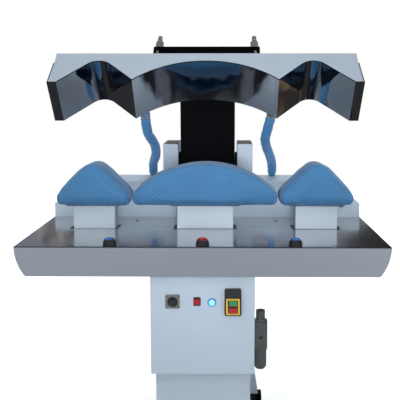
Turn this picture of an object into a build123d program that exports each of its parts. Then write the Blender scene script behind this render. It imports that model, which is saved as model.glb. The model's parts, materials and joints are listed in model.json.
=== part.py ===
from build123d import *
from math import asin, atan2, cos, hypot, radians, sin, sqrt, tan
import os

# Collar and cuff press with its head open. All sizes are in millimetres.
# +X is the operator's right, +Y goes to the back and +Z is up. The origin is on the floor under the middle.

os.makedirs("parts", exist_ok=True)

# Overall
table_width = 1220
table_height = 940
overall_depth = 1000
front_y = -overall_depth / 2
rear_y = overall_depth / 2
paint_sheet = 2.5
seat_gap = 0.3
shaft_play = 0.05

# Floor frame, an inverted channel section on levelling feet
foot_height = 15
foot_pad_r = 28
foot_stem_r = 7
channel_width = 60
channel_height = 40
channel_wall = 4
runner_x = 180
frame_setback = 60
frame_rear_inset = 15
frame_front_y = front_y + frame_setback
frame_rear_y = rear_y - frame_rear_inset
rear_channel_half = 240
anchor_hole_r = 6.5
anchor_plate = 76
anchor_plate_t = 8
anchor_reach = 40
anchor_front_inset = 60
anchor_rear_inset = 125
anchor_x = runner_x + channel_width / 2 + anchor_reach
anchor_front_y = frame_front_y + anchor_front_inset
anchor_rear_y = frame_rear_y - anchor_rear_inset
frame_top_z = foot_height + channel_height

# Pedestal and control cabinet
pedestal_width = 320
pedestal_setback = 70
pedestal_depth = 490
pedestal_front_y = front_y + pedestal_setback
pedestal_rear_y = pedestal_front_y + pedestal_depth
middle_channel_y = pedestal_rear_y - channel_width / 2
pedestal_wall = 3
cable_hole_r = 10.25
cable_hole_z = 300
cabinet_width = 344
cabinet_setback = 25
cabinet_front_y = front_y + cabinet_setback
cabinet_depth = 305
cabinet_bottom_z = 503
panel_t = 3
panel_edge_r = 2

# Table
table_depth = 592
apron_height = 98
apron_inset = 34
apron_corner_r = 14
apron_edge_r = 4
table_sheet = 2
rail_height = 30
rail_width = 40
rail_setback = 60
rail_end_gap = 50
rail_front_y = front_y + rail_setback
rail_half_length = table_width / 2 - rail_end_gap
inner_rail_x = 200
rail_top_z = table_height - table_sheet
rail_bottom_z = rail_top_z - rail_height
beam_width = 80
beam_height = 60
beam_wall = 4
beam_half_length = 490
slot_corner_r = 6

# Bucks and their pads
buck_setback = 373
buck_y = front_y + buck_setback
post_depth = 74
post_wall = 3
collar_post_width = 206
cuff_post_width = 153
cuff_post_x = 405.5
slot_side_gap = 12
slot_front_gap = 17
slot_back_gap = 8
post_rise = 94
pad_overlap = 6
buck_bottom_z = table_height + post_rise
pad_bottom_z = buck_bottom_z - pad_overlap
pad_thickness = 14
pad_depth = 175
pad_edge_r = 11
pad_corner_r = 19
pad_tuck = 15
pad_side_gap = 6

# Shoe, whose three arches fit the bucks
feet_rise = 119
feet_z = table_height + feet_rise
valley_rise = 11.5
arch_rise = 112
valley_x = 270
cuff_outer_x = 536
flange_x = 582
cuff_crown_r = 55
press_gap = 1
shoe_t = 5
shoe_chord = 188
shoe_setback = 287
shoe_front_y = front_y + shoe_setback
end_lip_t = 3
end_lip_height = 115
end_lip_gap = 1
chest_t = 24
chest_end_gap = 14
collar_chest_half = 200
cuff_chest_half = 70

# Head housing and its hanging
housing_half = 570
housing_height = 172
housing_wall = 3
yoke_half = 207
yoke_setback = 30
yoke_drop = 41
yoke_height = 42
yoke_depth = 36
stud_x = 187
stud_r = 9
stud_rise = 88
nut_flats = 27
nut_height = 24
head_bolt_x = 188
head_bolt_r = 5
head_bolt_rise = 30
head_bolt_setback = 12

# Swing arm and its pivot
pivot_setback = 215
pivot_rise = 197
pivot_y = rear_y - pivot_setback
pivot_z = table_height + pivot_rise
open_angle = 50
arm_half = 112
arm_side_plate = 12
arm_front_plate = 8
arm_elbow_gap = 65
arm_elbow_y = shoe_front_y + shoe_chord + arm_elbow_gap
arm_elbow_depth = 50
arm_hub_r = 45
arm_rib = 10
hub_tube_r = 34
shaft_r = 20
shaft_half = 168
bearing_flange_r = 48
bearing_flange_t = 9
bearing_hub_r = 28
bearing_depth = 43

# Pivot cheeks and the rear boxes
cheek_inner_x = 122
cheek_outer_x = 186
cheek_front_reach = 35
cheek_rear_gap = 5
cheek_rise = 82
cheek_wall = 4
housing_rear_inset = 10
housing_rear_y = rear_y - housing_rear_inset
cheek_front_y = pivot_y - cheek_front_reach
cheek_rear_y = housing_rear_y - cheek_rear_gap
cheek_top_z = pivot_z + cheek_rise
ledge_side_gap = 2
ledge_half = table_width / 2 - ledge_side_gap
ledge_height = 55
ledge_skirt = 120
ledge_edge_r = 4
upper_box_half = 470
upper_box_height = 70
upper_box_front_y = cheek_front_y
pan_height = 40

# Rear legs
leg_width = 50
leg_wall = 3
leg_foot_x = 199
leg_splay = 8
leg_rear_y = frame_rear_y

# Drive from the air cylinder to the lever behind the pivot
lever_length = 115
lever_plate = 12
lever_gap = 32
lever_end_r = 20
lever_pin_r = 8
lever_hub_half = 29.5
rod_eye_width = 28
eye_slot_play = 0.9
rod_r = 12.5
piston_r = 40
piston_t = 20
cylinder_wall = 6
cylinder_cap = 20
cylinder_drop = 280
cylinder_base_z = pivot_z - cylinder_drop
cylinder_inner = 130
gland_gap = 0.1
bracket_plate = 8
bracket_width = 130
stroke_spare = 8

# Palm buttons
palm_x = 304
palm_setback = 38
palm_y = front_y + palm_setback
palm_base_r = 22
palm_base_height = 18
palm_barrel_r = 11
palm_barrel_length = 30
palm_cap_r = 14.6
palm_bore_r = 15
palm_travel = 4
palm_stem_r = 4
palm_cap_edge_r = 4

# Controls on the cabinet's front
control_drop = 187
control_z = table_height - control_drop
timer_x = -98
timer_plate = 47
timer_barrel_r = 17
timer_knob_r = 12
rocker_x = -18
rocker_frame_width = 23.6
rocker_frame_height = 28.8
rocker_width = 16.4
rocker_height = 21
pilot_x = 31
pilot_r = 14
pilot_lens_r = 10.5
pilot_barrel_r = 11
switch_x = 100
switch_width = 55
switch_height = 89
switch_depth = 17
switch_cover_width = 44.5
switch_cover_height = 54
switch_cover_t = 3
switch_cover_drop = 13
push_button_width = 24
push_button_height = 17
push_button_corner_r = 3
push_button_spacing = 24

# Filter regulator on the cabinet's right side
regulator_reach = 27
regulator_setback = 175
regulator_x = cabinet_width / 2 + regulator_reach
regulator_y = cabinet_front_y + regulator_setback
regulator_body = 48
regulator_drop = 304
regulator_body_top_z = table_height - regulator_drop
regulator_body_height = 100
regulator_knob_r = 16
regulator_knob_height = 38
regulator_bowl_r = 22
regulator_bowl_height = 79
regulator_port_r = 5.72
air_tube_r = 5

# Steam hoses and ports
hose_r = 17
hose_fitting_r = 19
hose_fitting_length = 28
hose_collar_length = 12
hose_stub_r = 14
steam_port_r = 9.32
steam_port_outer_r = 16
steam_port_length = 20
steam_port_drop = 60
steam_port_z = table_height - steam_port_drop
steam_port_x = 300


def front_plane(y):
    """A drawing plane at depth y, X across and Z up, that extrudes towards the front."""
    return Plane.XZ.offset(-y)


def side_plane(x):
    """A drawing plane at x, Y across and Z up, that extrudes towards the right."""
    return Plane.YZ.offset(x)


def save(piece, name):
    """Label a finished piece and write its STEP file."""
    piece.label = name
    export_step(piece, f"parts/{name}.step")


def box_between(low, high, mode=Mode.ADD):
    """A box from its low corner to its high corner."""
    size = [b - a for a, b in zip(low, high)]
    middle = [(a + b) / 2 for a, b in zip(low, high)]
    with Locations(tuple(middle)):
        Box(*size, mode=mode)


# The head is drawn closed and then swung open about the pivot
pivot_place = Location((0, pivot_y, pivot_z))
swing_open = pivot_place * Rotation(-open_angle, 0, 0) * pivot_place.inverse()

# Heights and depths that follow from the sizes above
valley_z = feet_z + valley_rise
housing_top_z = feet_z + housing_height
shoe_rear_y = shoe_front_y + shoe_chord
yoke_bottom_z = housing_top_z + yoke_drop
yoke_top_z = yoke_bottom_z + yoke_height
yoke_y = shoe_front_y + yoke_setback + yoke_depth / 2
ledge_top_z = table_height + ledge_height
upper_box_top_z = ledge_top_z + upper_box_height
pan_bottom_z = table_height - ledge_skirt
cuff_x = (valley_x + cuff_outer_x) / 2
cuff_half = (cuff_outer_x - valley_x) / 2
collar_r = (valley_x**2 + arch_rise**2) / (2 * arch_rise)


def collar_arch(inset, half):
    """The collar arch's radius, centre height and height at x = half, drawn in by inset."""
    radius = collar_r - inset
    centre_z = valley_z + arch_rise - collar_r
    return radius, centre_z, centre_z + sqrt(radius**2 - half**2)


def cuff_arch(inset, low_z):
    """The cuff arch's half width at low_z, and where its flank meets its crown, drawn in by inset."""
    centre_up = arch_rise - cuff_crown_r
    reach = hypot(cuff_half, centre_up)
    slope = atan2(centre_up, cuff_half) + asin(cuff_crown_r / reach)
    radius = cuff_crown_r - inset
    crown_x = radius * sin(slope)
    crown_z = valley_z + centre_up + radius * cos(slope)
    low_half = crown_x + (crown_z - low_z) / tan(slope)
    return low_half, crown_x, crown_z, valley_z + centre_up + radius


foot_x = cuff_x + cuff_arch(0, feet_z)[0]


# Floor frame
with BuildPart() as base_frame:
    with BuildSketch(Plane.XY.offset(foot_height)):
        for side in (-1, 1):
            with Locations((side * runner_x, (frame_front_y + frame_rear_y) / 2)):
                Rectangle(channel_width, frame_rear_y - frame_front_y)
        for y in (frame_front_y + channel_width / 2, middle_channel_y):
            with Locations((0, y)):
                Rectangle(2 * runner_x, channel_width)
        with Locations((0, frame_rear_y - channel_width / 2)):
            Rectangle(2 * rear_channel_half, channel_width)
    extrude(amount=channel_height)
    offset(amount=-channel_wall, openings=base_frame.faces().sort_by(Axis.Z)[0])
    with BuildSketch(Plane.XY.offset(foot_height)):
        for side in (-1, 1):
            for y in (anchor_front_y, anchor_rear_y):
                with Locations((side * (anchor_x - 4), y)):
                    Rectangle(anchor_plate, anchor_plate)
        for side in (-1, 1):
            for y in (anchor_front_y, anchor_rear_y):
                with Locations((side * anchor_x, y)):
                    Circle(anchor_hole_r, mode=Mode.SUBTRACT)
    extrude(amount=anchor_plate_t)
save(base_frame.part, "base_frame")

foot_spots = [
    (side * runner_x, y)
    for side in (-1, 1)
    for y in (frame_front_y + channel_width / 2, frame_rear_y - channel_width / 2)
]
stem_top_z = frame_top_z - channel_wall
with BuildPart() as levelling_feet:
    with BuildSketch():
        with Locations(*foot_spots):
            Circle(foot_pad_r)
    extrude(amount=5)
    with BuildSketch(Plane.XY.offset(5)):
        with Locations(*foot_spots):
            Circle(foot_stem_r)
    extrude(amount=stem_top_z - 5)
    with BuildSketch(Plane.XY.offset(stem_top_z - 12)):
        with Locations(*foot_spots):
            RegularPolygon(foot_stem_r + 5, 6)
    extrude(amount=12)
save(levelling_feet.part, "levelling_feet")

# Pedestal, with a tall back part behind the cabinet
column_front_y = buck_y + beam_width / 2


def pedestal_outline(wall):
    """The pedestal's side view, drawn in by the wall and open at the bottom."""
    low_z = frame_top_z - wall
    with BuildLine() as outline:
        Polyline(
            (pedestal_front_y + wall, low_z),
            (pedestal_rear_y - wall, low_z),
            (pedestal_rear_y - wall, rail_bottom_z - wall),
            (column_front_y + wall, rail_bottom_z - wall),
            (column_front_y + wall, cabinet_bottom_z - wall),
            (pedestal_front_y + wall, cabinet_bottom_z - wall),
            close=True,
        )
    make_face(outline.edges())


with BuildPart() as pedestal:
    with BuildSketch(side_plane(-pedestal_width / 2)):
        pedestal_outline(0)
    extrude(amount=pedestal_width)
    with BuildSketch(side_plane(pedestal_wall - pedestal_width / 2)):
        pedestal_outline(pedestal_wall)
    extrude(amount=pedestal_width - 2 * pedestal_wall, mode=Mode.SUBTRACT)
    with BuildSketch(front_plane(pedestal_rear_y + 1)):
        with Locations((0, cable_hole_z)):
            Circle(cable_hole_r)
    extrude(amount=pedestal_wall + 2, mode=Mode.SUBTRACT)
save(pedestal.part, "pedestal")

# Control cabinet, open at the front, and its panel
cabinet_rear_y = cabinet_front_y + cabinet_depth
with BuildPart() as control_cabinet:
    box_between(
        (-cabinet_width / 2, cabinet_front_y + panel_t, cabinet_bottom_z),
        (cabinet_width / 2, cabinet_rear_y, rail_bottom_z),
    )
    offset(amount=-table_sheet, openings=control_cabinet.faces().sort_by(Axis.Y)[0])
save(control_cabinet.part, "control_cabinet")

with BuildPart() as control_panel:
    with BuildSketch(front_plane(cabinet_front_y + panel_t)):
        with Locations((0, (cabinet_bottom_z + rail_bottom_z) / 2)):
            Rectangle(cabinet_width, rail_bottom_z - cabinet_bottom_z)
        with Locations((timer_x, control_z)):
            Circle(timer_barrel_r + seat_gap, mode=Mode.SUBTRACT)
        with Locations((rocker_x, control_z)):
            Rectangle(rocker_frame_width - 3, rocker_frame_height - 3, mode=Mode.SUBTRACT)
        with Locations((pilot_x, control_z - 3)):
            Circle(pilot_barrel_r + seat_gap, mode=Mode.SUBTRACT)
    extrude(amount=panel_t)
    fillet(control_panel.faces().sort_by(Axis.Y)[0].outer_wire().edges(), panel_edge_r)
save(control_panel.part, "control_panel")

# Table frame under the sheet top, with the beam below it that carries the three posts
with BuildPart() as table_frame:
    with BuildSketch(Plane.XY.offset(rail_bottom_z)):
        rail_rear_y = front_y + table_depth
        with Locations((0, rail_front_y + rail_width / 2), (0, rail_rear_y - rail_width / 2)):
            Rectangle(2 * rail_half_length, rail_width)
        for x in (rail_half_length - rail_width / 2, inner_rail_x):
            for side in (-1, 1):
                with Locations((side * x, (rail_front_y + rail_rear_y) / 2)):
                    Rectangle(rail_width, rail_rear_y - rail_front_y)
    extrude(amount=rail_height)
    box_between(
        (-beam_half_length, buck_y - beam_width / 2, rail_bottom_z - beam_height),
        (beam_half_length, buck_y + beam_width / 2, rail_bottom_z),
    )
    box_between(
        (-beam_half_length, buck_y - beam_width / 2 + beam_wall, rail_bottom_z - beam_height + beam_wall),
        (beam_half_length, buck_y + beam_width / 2 - beam_wall, rail_bottom_z - beam_wall),
        mode=Mode.SUBTRACT,
    )
save(table_frame.part, "table_frame")

# Table top, a folded sheet with a deep front and curved ends
end_r = (apron_inset**2 + apron_height**2) / (2 * apron_inset)
table_half = table_width / 2
collar_slot = collar_post_width + 2 * slot_side_gap
cuff_slot = cuff_post_width + 2 * slot_side_gap
slot_depth = post_depth + slot_front_gap + slot_back_gap
slot_y = buck_y - slot_front_gap / 2 + slot_back_gap / 2


def table_outline(wall):
    """The table's front view, drawn in by the sheet and then open below."""
    bottom_z = table_height - apron_height - wall
    top_z = table_height - wall
    radius = end_r - wall
    side_x = table_half - wall
    sweep_angle = asin((top_z - bottom_z) / end_r)
    with BuildLine() as outline:
        Line((-side_x, top_z), (side_x, top_z))
        half_z = top_z - radius * sin(sweep_angle / 2)
        half_x = side_x - radius * (1 - cos(sweep_angle / 2))
        low_x = side_x - radius * (1 - cos(sweep_angle))
        low_z = top_z - radius * sin(sweep_angle)
        ThreePointArc((side_x, top_z), (half_x, half_z), (low_x, low_z))
        Line((low_x, low_z), (-low_x, low_z))
        ThreePointArc((-low_x, low_z), (-half_x, half_z), (-side_x, top_z))
    make_face(outline.edges())
    fillet(vertices().group_by(Axis.Y)[0], apron_corner_r - wall)
    if wall:
        with Locations((0, low_z)):
            Rectangle(2 * (low_x - apron_corner_r), 4 * wall)


with BuildPart() as table_top:
    with BuildSketch(front_plane(front_y + table_depth)):
        table_outline(0)
    extrude(amount=table_depth)
    fillet(table_top.faces().sort_by(Axis.Y)[0].edges().sort_by(Axis.Z)[-1], apron_edge_r)
    with BuildSketch(front_plane(front_y + table_depth)):
        table_outline(table_sheet)
    extrude(amount=table_depth - table_sheet, mode=Mode.SUBTRACT)
    with BuildSketch(Plane.XY.offset(table_height + 1)):
        with Locations((0, slot_y)):
            RectangleRounded(collar_slot, slot_depth, slot_corner_r)
        with Locations((-cuff_post_x, slot_y), (cuff_post_x, slot_y)):
            RectangleRounded(cuff_slot, slot_depth, slot_corner_r)
        with Locations(*((x, palm_y) for x in (-palm_x, 0, palm_x))):
            Circle(palm_barrel_r + seat_gap)
    extrude(amount=-table_sheet - 3, mode=Mode.SUBTRACT)
save(table_top.part, "table_top")

# Posts
posts = {
    "collar_post": (0, collar_post_width),
    "cuff_post_left": (-cuff_post_x, cuff_post_width),
    "cuff_post_right": (cuff_post_x, cuff_post_width),
}
for name, (x, width) in posts.items():
    with BuildPart() as post:
        with BuildSketch(Plane.XY.offset(rail_bottom_z)):
            with Locations((x, buck_y)):
                RectangleRounded(width, post_depth, 4)
                RectangleRounded(width - 2 * post_wall, post_depth - 2 * post_wall, 2, mode=Mode.SUBTRACT)
        extrude(amount=buck_bottom_z - rail_bottom_z)
    save(post.part, name)


def collar_outline(inset, half, low_z, tuck, corner):
    """The front view of the collar buck or its pad."""
    radius, centre_z, side_z = collar_arch(inset, half)
    with BuildLine() as outline:
        ThreePointArc((-half, side_z), (0, centre_z + radius), (half, side_z))
        Polyline((half, side_z), (half - tuck, low_z), (tuck - half, low_z), (-half, side_z))
    make_face(outline.edges())
    fillet(vertices(), corner)


def cuff_outline(x, inset, half, low_z, tuck, corner):
    """The front view of a cuff buck or its pad, about x."""
    slope_half, crown_x, crown_z, top_z = cuff_arch(inset, feet_z)
    side_z = feet_z + (slope_half - half) * (crown_z - feet_z) / (slope_half - crown_x)
    with BuildLine() as outline:
        ThreePointArc((x - crown_x, crown_z), (x, top_z), (x + crown_x, crown_z))
        Polyline((x + crown_x, crown_z), (x + half, side_z), (x + half - tuck, low_z),
                 (x + tuck - half, low_z), (x - half, side_z), (x - crown_x, crown_z))
    make_face(outline.edges())
    low = vertices().filter_by(lambda v: v.Y < crown_z - 5)
    fillet(low, corner)


pad_half = valley_x - pad_side_gap
cuff_pad_half = cuff_half + pad_side_gap / 2
buck_inset = press_gap + pad_thickness
for name, x in (("collar", 0), ("cuff_left", -cuff_x), ("cuff_right", cuff_x)):
    part_name, _, hand = name.partition("_")
    suffix = f"_{hand}" if hand else ""
    width = posts[f"{part_name}_post{suffix}"][1]
    post_x = posts[f"{part_name}_post{suffix}"][0]
    with BuildPart() as buck:
        with BuildSketch(front_plane(buck_y + pad_depth / 2 - pad_thickness)):
            if part_name == "collar":
                collar_outline(buck_inset, pad_half - pad_thickness - 8, buck_bottom_z, 4, 4)
            else:
                cuff_outline(x, buck_inset, cuff_pad_half - pad_thickness - 8, buck_bottom_z, 4, 4)
        extrude(amount=pad_depth - 2 * pad_thickness)
    save(buck.part, f"{part_name}_buck{suffix}")
    with BuildPart() as pad:
        with BuildSketch(front_plane(buck_y + pad_depth / 2)):
            if part_name == "collar":
                collar_outline(press_gap, pad_half, pad_bottom_z, pad_tuck, pad_corner_r)
            else:
                cuff_outline(x, press_gap, cuff_pad_half, pad_bottom_z, pad_tuck, pad_corner_r)
        extrude(amount=pad_depth)
        ends = pad.faces().filter_by(Axis.Y).edges()
        fillet(ends, pad_edge_r)
        with BuildSketch(front_plane(buck_y + pad_depth / 2 - pad_thickness)):
            if part_name == "collar":
                collar_outline(buck_inset, pad_half - pad_thickness - 8, buck_bottom_z, 4, 4)
            else:
                cuff_outline(x, buck_inset, cuff_pad_half - pad_thickness - 8, buck_bottom_z, 4, 4)
        extrude(amount=pad_depth - 2 * pad_thickness, mode=Mode.SUBTRACT)
        with BuildSketch(Plane.XY.offset(pad_bottom_z - 1)):
            with Locations((post_x, buck_y)):
                RectangleRounded(width + 2 * seat_gap, post_depth + 2 * seat_gap, 4 + seat_gap)
        extrude(amount=buck_bottom_z - pad_bottom_z + 1, mode=Mode.SUBTRACT)
    save(pad.part, f"{part_name}_pad{suffix}")

# Rear housing behind the table, open below, with holes for the rod and the steam ports
cylinder_y = pivot_y + lever_length * cos(radians(open_angle / 2))
pin_drop = lever_length * sin(radians(open_angle / 2))
pin_wander = lever_length - lever_length * cos(radians(open_angle / 2))
barrel_r = piston_r + gland_gap + cylinder_wall
with BuildPart() as rear_housing:
    box_between(
        (-ledge_half, front_y + table_depth, pan_bottom_z),
        (ledge_half, housing_rear_y, ledge_top_z),
    )
    fillet(rear_housing.edges().filter_by(Axis.X).group_by(Axis.Z)[-1], ledge_edge_r)
    offset(amount=-paint_sheet, openings=rear_housing.faces().sort_by(Axis.Z)[0])
    with BuildSketch(Plane.XY.offset(ledge_top_z + 1)):
        with Locations((0, cylinder_y)):
            Circle(barrel_r + 5)
    extrude(amount=-paint_sheet - 2, mode=Mode.SUBTRACT)
    with BuildSketch(front_plane(housing_rear_y + 1)):
        with Locations(*((x, steam_port_z) for x in (-steam_port_x, steam_port_x))):
            Circle(steam_port_outer_r + seat_gap)
    extrude(amount=paint_sheet + 2, mode=Mode.SUBTRACT)
save(rear_housing.part, "rear_housing")

with BuildPart() as rear_floor_pan:
    inset = paint_sheet + seat_gap
    box_between(
        (inset - ledge_half, front_y + table_depth + inset, pan_bottom_z),
        (ledge_half - inset, housing_rear_y - inset, pan_bottom_z + pan_height),
    )
    offset(amount=-pedestal_wall, openings=rear_floor_pan.faces().sort_by(Axis.Z)[-1])
save(rear_floor_pan.part, "rear_floor_pan")

with BuildPart() as rear_upper_box:
    box_between(
        (-upper_box_half, upper_box_front_y, ledge_top_z),
        (upper_box_half, housing_rear_y, upper_box_top_z),
    )
    fillet(rear_upper_box.edges().filter_by(Axis.X).group_by(Axis.Z)[-1], ledge_edge_r)
    offset(amount=-paint_sheet, openings=rear_upper_box.faces().sort_by(Axis.Z)[0])
    with BuildSketch(Plane.XY.offset(upper_box_top_z + 1)):
        with Locations((0, cylinder_y + pin_wander / 2)):
            RectangleRounded(rod_eye_width + 12, 2 * lever_end_r + pin_wander + 12, 6)
    extrude(amount=-paint_sheet - 2, mode=Mode.SUBTRACT)
save(rear_upper_box.part, "rear_upper_box")

# Splayed rear legs
leg_shift = (pan_bottom_z - frame_top_z) * tan(radians(leg_splay))
for name, side in (("rear_leg_left", -1), ("rear_leg_right", 1)):
    with BuildPart() as leg:
        for half, mode in ((leg_width / 2, Mode.ADD), (leg_width / 2 - leg_wall, Mode.SUBTRACT)):
            with BuildSketch(front_plane(leg_rear_y - leg_width / 2 + half)):
                with BuildLine():
                    Polyline(
                        (side * (leg_foot_x - half), frame_top_z),
                        (side * (leg_foot_x + half), frame_top_z),
                        (side * (leg_foot_x + half - leg_shift), pan_bottom_z),
                        (side * (leg_foot_x - half - leg_shift), pan_bottom_z),
                        close=True,
                    )
                make_face()
            extrude(amount=2 * half, mode=mode)
    save(leg.part, name)

# Pivot cheeks, with a hole for the bearing's hub in the inner wall
for name, side in (("pivot_cheek_left", -1), ("pivot_cheek_right", 1)):
    with BuildPart() as cheek:
        box_between(
            (min(side * cheek_inner_x, side * cheek_outer_x), cheek_front_y, upper_box_top_z),
            (max(side * cheek_inner_x, side * cheek_outer_x), cheek_rear_y, cheek_top_z),
        )
        fillet(cheek.edges().filter_by(Axis.Z), 2)
        offset(amount=-cheek_wall, openings=cheek.faces().sort_by(Axis.Z)[0])
        with BuildSketch(side_plane(side * (cheek_inner_x - 1))):
            with Locations((pivot_y, pivot_z)):
                Circle(bearing_hub_r + seat_gap)
        extrude(amount=side * (cheek_wall + 2), mode=Mode.SUBTRACT)
    save(cheek.part, name)
for name, side in (("pivot_bearing_left", -1), ("pivot_bearing_right", 1)):
    with BuildPart() as bearing:
        with BuildSketch(side_plane(side * cheek_inner_x)):
            with Locations((pivot_y, pivot_z)):
                Circle(bearing_flange_r)
        extrude(amount=-side * bearing_flange_t)
        fillet(bearing.edges().sort_by(Axis.X)[-1 if side < 0 else 0], 2)
        with BuildSketch(side_plane(side * cheek_inner_x)):
            with Locations((pivot_y, pivot_z)):
                Circle(bearing_hub_r)
        extrude(amount=side * bearing_depth)
        with BuildSketch(side_plane(side * (cheek_inner_x - bearing_flange_t))):
            with Locations((pivot_y, pivot_z)):
                Circle(shaft_r + shaft_play)
        extrude(amount=side * (bearing_flange_t + bearing_depth), mode=Mode.SUBTRACT)
    save(bearing.part, name)

# Air cylinder on its bracket, with the rod and its eye at the low end of the stroke
barrel_top_z = cylinder_base_z + cylinder_inner + 2 * cylinder_cap
pin_z = pivot_z - pin_drop
eye_bottom_z = pin_z - 45
piston_bottom_z = cylinder_base_z + cylinder_cap + stroke_spare / 2
with BuildPart() as air_cylinder:
    with Locations((0, cylinder_y, cylinder_base_z)):
        Cylinder(barrel_r, barrel_top_z - cylinder_base_z, align=(Align.CENTER, Align.CENTER, Align.MIN))
    with Locations((0, cylinder_y, cylinder_base_z + cylinder_cap)):
        Cylinder(piston_r + gland_gap, cylinder_inner, align=(Align.CENTER, Align.CENTER, Align.MIN),
                 mode=Mode.SUBTRACT)
    with Locations((0, cylinder_y, barrel_top_z - cylinder_cap)):
        Cylinder(rod_r + shaft_play, cylinder_cap, align=(Align.CENTER, Align.CENTER, Align.MIN),
                 mode=Mode.SUBTRACT)
    for z in (cylinder_base_z + cylinder_cap + 4, barrel_top_z - cylinder_cap - 4):
        with BuildSketch(Plane.XY.offset(z)):
            with Locations((0, cylinder_y)):
                Circle(barrel_r + 1)
                Circle(barrel_r - 2, mode=Mode.SUBTRACT)
        extrude(amount=2, mode=Mode.SUBTRACT)
save(air_cylinder.part, "air_cylinder")

pan_floor_z = pan_bottom_z + pedestal_wall
with BuildPart() as cylinder_bracket:
    with BuildSketch(front_plane(cylinder_y + barrel_r)):
        with BuildLine():
            half = bracket_width / 2
            Polyline(
                (-half, pan_floor_z),
                (-half, cylinder_base_z),
                (half, cylinder_base_z),
                (half, pan_floor_z),
                (half - bracket_plate, pan_floor_z),
                (half - bracket_plate, cylinder_base_z - bracket_plate),
                (bracket_plate - half, cylinder_base_z - bracket_plate),
                (bracket_plate - half, pan_floor_z),
                close=True,
            )
        make_face()
    extrude(amount=2 * barrel_r)
save(cylinder_bracket.part, "cylinder_bracket")

with BuildPart() as cylinder_rod:
    with Locations((0, cylinder_y, piston_bottom_z)):
        Cylinder(piston_r, piston_t, align=(Align.CENTER, Align.CENTER, Align.MIN))
    with Locations((0, cylinder_y, piston_bottom_z)):
        Cylinder(rod_r, eye_bottom_z - piston_bottom_z, align=(Align.CENTER, Align.CENTER, Align.MIN))
save(cylinder_rod.part, "cylinder_rod")

with BuildPart() as rod_eye:
    with BuildSketch(side_plane(-rod_eye_width / 2)):
        with BuildLine():
            eye_front_y = cylinder_y - lever_end_r
            eye_rear_y = cylinder_y + pin_wander + lever_end_r
            Polyline(
                (eye_front_y, pin_z),
                (cylinder_y - rod_r - 5, eye_bottom_z),
                (cylinder_y + rod_r + 5, eye_bottom_z),
                (eye_rear_y, pin_z),
            )
            Line((eye_rear_y, pin_z), (eye_rear_y, pin_z + lever_end_r))
            Line((eye_rear_y, pin_z + lever_end_r), (eye_front_y, pin_z + lever_end_r))
            Line((eye_front_y, pin_z + lever_end_r), (eye_front_y, pin_z))
        eye_face = make_face()
        fillet(eye_face.vertices().group_by(Axis.Y)[-1], 10)
        with Locations((cylinder_y + pin_wander / 2, pin_z)):
            slot_length = 2 * (lever_pin_r + eye_slot_play) + pin_wander
            SlotOverall(slot_length, 2 * (lever_pin_r + eye_slot_play), mode=Mode.SUBTRACT)
    extrude(amount=rod_eye_width)
save(rod_eye.part, "rod_eye")

# Pressing shoe, one sheet in three arches with flat end flanges and a turned up lip
def arch_faces(grow, mode):
    """The three arch openings, grown outward by grow, down to the plane of the feet."""
    radius, centre_z, _ = collar_arch(-grow, 0)
    half = sqrt(radius**2 - (feet_z - centre_z) ** 2)
    with BuildLine() as outline:
        ThreePointArc((-half, feet_z), (0, centre_z + radius), (half, feet_z))
        Line((half, feet_z), (-half, feet_z))
    make_face(outline.edges(), mode=mode)
    low_half, crown_x, crown_z, top_z = cuff_arch(-grow, feet_z)
    for x in (-cuff_x, cuff_x):
        with BuildLine() as outline:
            ThreePointArc((x - crown_x, crown_z), (x, top_z), (x + crown_x, crown_z))
            Polyline((x + crown_x, crown_z), (x + low_half, feet_z), (x - low_half, feet_z),
                     (x - crown_x, crown_z))
        make_face(outline.edges(), mode=mode)


with BuildPart() as pressing_shoe:
    with BuildSketch(front_plane(shoe_rear_y)):
        arch_faces(shoe_t, Mode.ADD)
        for side in (-1, 1):
            with Locations((side * (foot_x + flange_x) / 2, feet_z + shoe_t / 2)):
                Rectangle(flange_x - foot_x, shoe_t)
            lip_x = housing_half + end_lip_gap
            with BuildLine() as lip:
                Polyline(
                    (side * (flange_x - end_lip_t), feet_z),
                    (side * flange_x, feet_z),
                    (side * (lip_x + end_lip_t), feet_z + end_lip_height),
                    (side * lip_x, feet_z + end_lip_height),
                    close=True,
                )
            make_face(lip.edges())
        arch_faces(0, Mode.SUBTRACT)
    extrude(amount=shoe_chord)
save(swing_open * pressing_shoe.part, "pressing_shoe")

# Steam chests cast on the back of each arch
with BuildPart() as steam_chests:
    with BuildSketch(front_plane(shoe_rear_y - chest_end_gap)):
        arch_faces(shoe_t + chest_t, Mode.ADD)
        arch_faces(shoe_t + seat_gap, Mode.SUBTRACT)
        between = cuff_x - cuff_chest_half - collar_chest_half
        for side in (-1, 1):
            with Locations((side * (collar_chest_half + between / 2), feet_z)):
                Rectangle(between, 3 * arch_rise, mode=Mode.SUBTRACT)
            with Locations((side * (cuff_x + cuff_chest_half + foot_x), feet_z)):
                Rectangle(2 * foot_x, 3 * arch_rise, mode=Mode.SUBTRACT)
    extrude(amount=shoe_chord - 2 * chest_end_gap)
save(swing_open * steam_chests.part, "steam_chests")

# Head housing, open below, whose panels follow the shoe
with BuildPart() as head_housing:
    with BuildSketch(front_plane(shoe_rear_y)):
        with Locations((0, (feet_z + shoe_t + housing_top_z) / 2)):
            Rectangle(2 * housing_half, housing_top_z - feet_z - shoe_t)
        arch_faces(shoe_t, Mode.SUBTRACT)
    extrude(amount=shoe_chord)
    box_between(
        (housing_wall - housing_half, shoe_front_y + housing_wall, feet_z),
        (housing_half - housing_wall, shoe_rear_y - housing_wall, housing_top_z - housing_wall),
        mode=Mode.SUBTRACT,
    )
save(swing_open * head_housing.part, "head_housing")

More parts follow.
